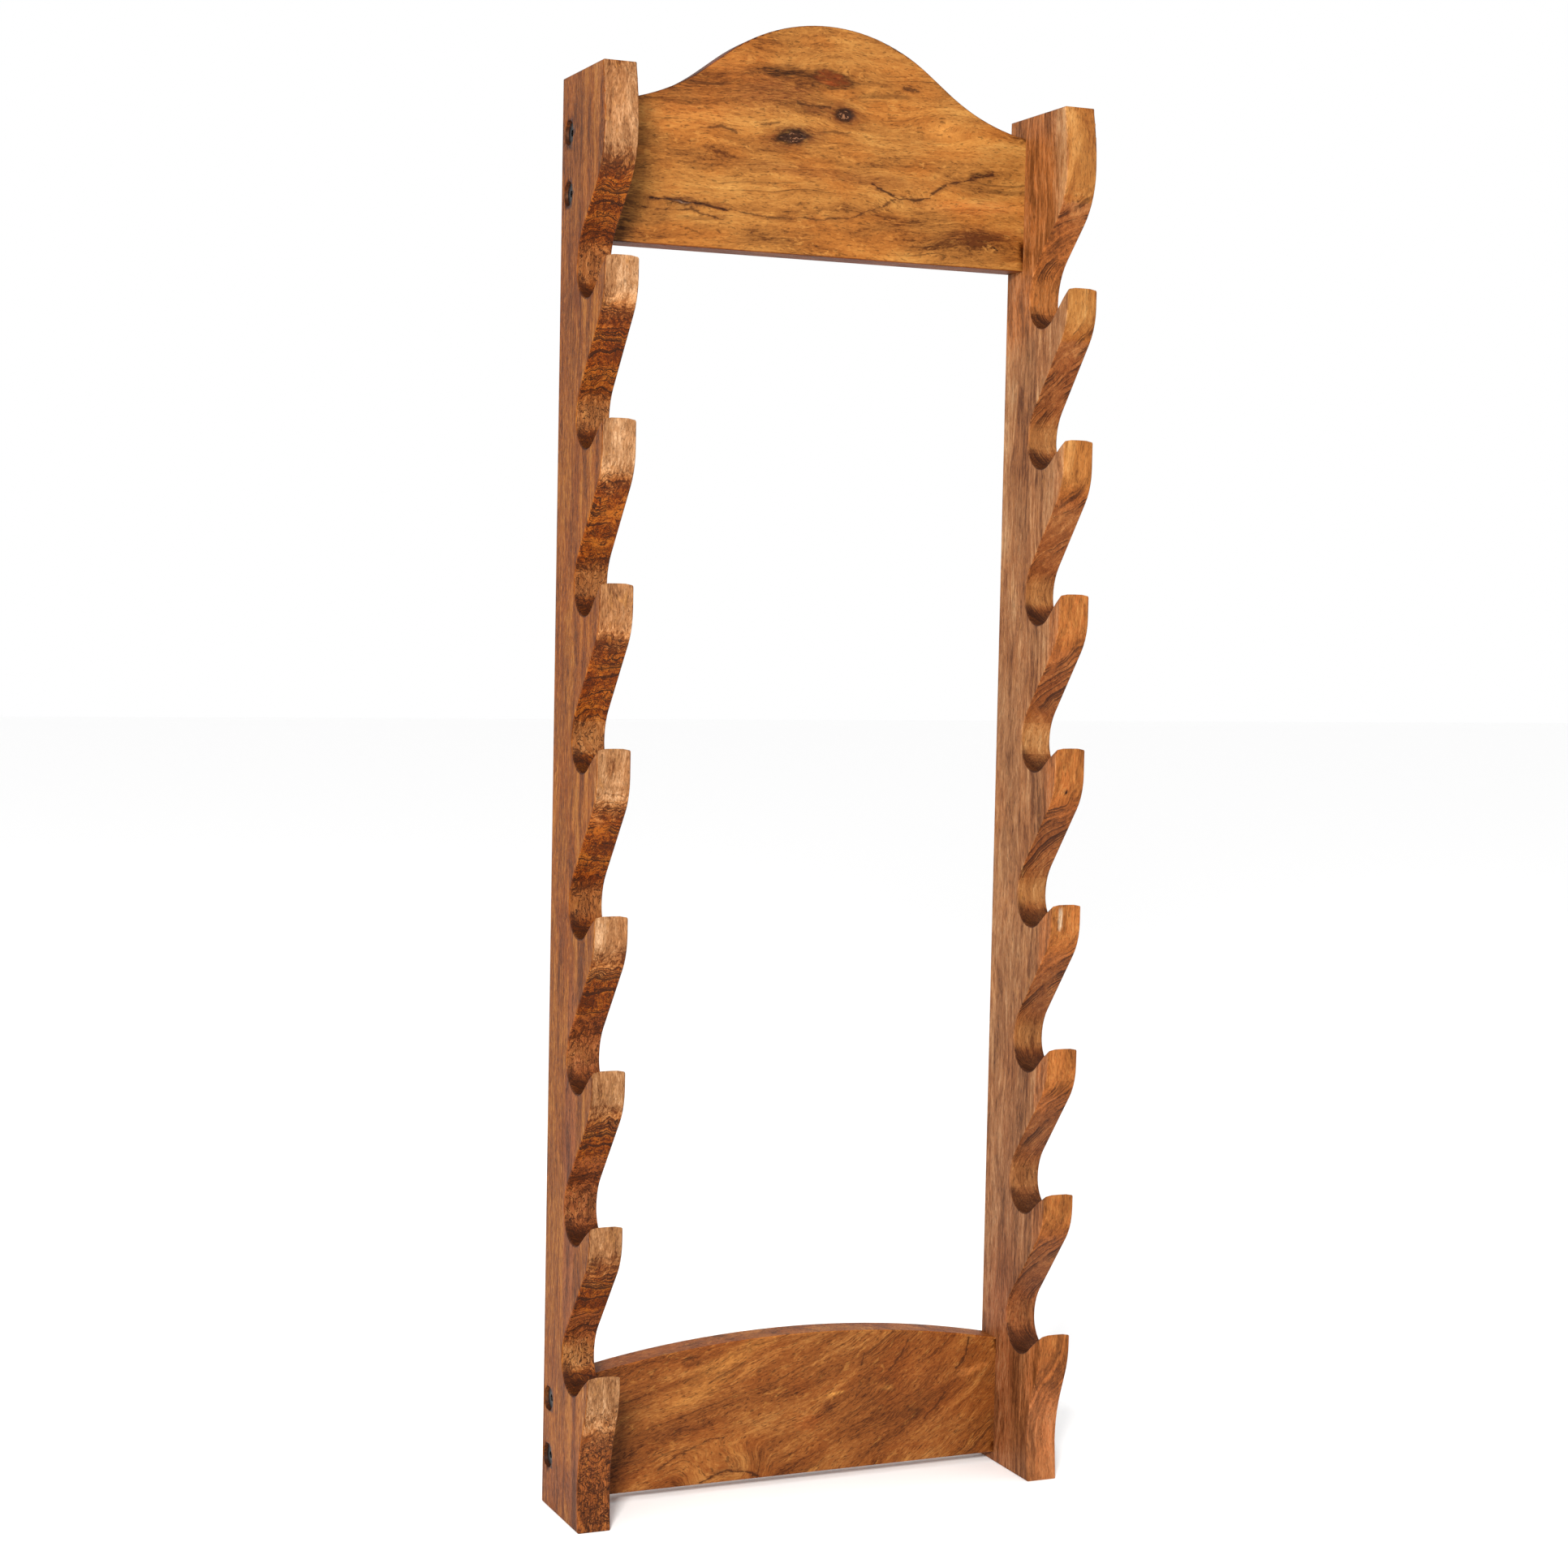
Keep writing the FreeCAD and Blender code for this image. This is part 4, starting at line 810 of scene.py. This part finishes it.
def sink_knots(bm, plank):
    """Cuts the surface finely round each knot and lets the knot's heart sink."""
    for knot in plank.knots:
        near = [face for face in bm.faces
                if face.normal.y < -0.3 and knot_gap(plank, face.calc_center_median(), knot) < 2.6]
        edges = list({edge for face in near for edge in face.edges})
        bmesh.ops.subdivide_edges(bm, edges=edges, cuts=4, use_grid_fill=True)
        bm.normal_update()
        for vert in bm.verts:
            if vert.normal.y > -0.3:
                continue
            gap = knot_gap(plank, vert.co, knot)
            if gap < 1.4:
                rough = 1.0 + 0.8 * noise.noise(vert.co * 900.0)
                vert.co -= vert.normal * KNOT_DEPTH * rough * smooth_share(gap, 1.4, 0.6)


def lip_tips(bm, front):
    """Heights of the lips' tips: the top of each patch of surface at the front that looks up."""
    tops = [vert for vert in bm.verts if vert.co.y < front + TIP_DEPTH and vert.normal.z > 0.3]
    heights = sorted(vert.co.z for vert in tops)
    tips = []
    for height in heights:
        if tips and height - tips[-1] < TIP_GAP:
            tips[-1] = height
        else:
            tips.append(height)
    return tips


def soften(bm, plank):
    """Hand sanding: faces to the front are never quite flat, and the lips' tips are rubbed round."""
    low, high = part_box(plank.node)
    middle = (low[0] + high[0]) / 2
    half = (high[0] - low[0]) / 2
    bm.normal_update()
    tips = lip_tips(bm, low[1]) if plank.axes == UPRIGHT_AXES else []
    for vert in bm.verts:
        aside = abs(vert.co.x - middle) / half
        for tip in tips:
            under = tip - vert.co.z
            if vert.co.y < low[1] + LIP_THICKNESS and 0.0 <= under < LIP_REACH:
                vert.co.z -= LIP_ROUND * aside ** 4 * (1.0 - under / LIP_REACH)
        front = max(0.0, -vert.normal.y) * (1.0 - abs(vert.normal.x))
        wave = noise.noise(vert.co * WAVE_SCALE + Vector((plank.seed, 0.0, 0.0)))
        vert.co -= vert.normal * WAVE_DEPTH * front * (0.5 + 0.5 * wave)


def make_plank(plank):
    bm = refined_mesh(plank.node, CELL)
    sink_knots(bm, plank)
    soften(bm, plank)
    bmesh.ops.triangulate(bm, faces=[face for face in bm.faces if len(face.verts) > 4])
    mesh = bpy.data.meshes.new(plank.node + "_timber")
    bm.to_mesh(mesh)
    bm.free()
    for polygon in mesh.polygons:
        polygon.use_smooth = True
    mesh.set_sharp_from_angle(angle=SHARP_ANGLE)
    piece = bpy.data.objects.new(plank.node + "_timber", mesh)
    scene.collection.objects.link(piece)
    mesh.materials.append(wood_material(plank.node + "_wood", plank))
    weighted = piece.modifiers.new("even_shading", "WEIGHTED_NORMAL")
    weighted.keep_sharp = True
    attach(piece, "root")
    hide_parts(plank.node)


def finish_metal():
    looks = {
        "bolt_steel": metal_material("bolt_black_steel", srgb(74, 76, 78), 0.38),
        "insert_brass": metal_material("insert_brass_look", srgb(196, 160, 92), 0.36),
        "hanger_steel": metal_material("hanger_zinc", srgb(176, 176, 172), 0.38),
        "screw_steel": metal_material("screw_zinc", srgb(158, 158, 154), 0.34),
    }
    for name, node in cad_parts.items():
        for index, material in enumerate(node.data.materials):
            if material and material.name.split(".")[0] in looks:
                node.material_slots[index].link = "OBJECT"
                node.material_slots[index].material = looks[material.name.split(".")[0]]


make_camera()
make_room()
for plank in PLANKS:
    make_plank(plank)
finish_metal()
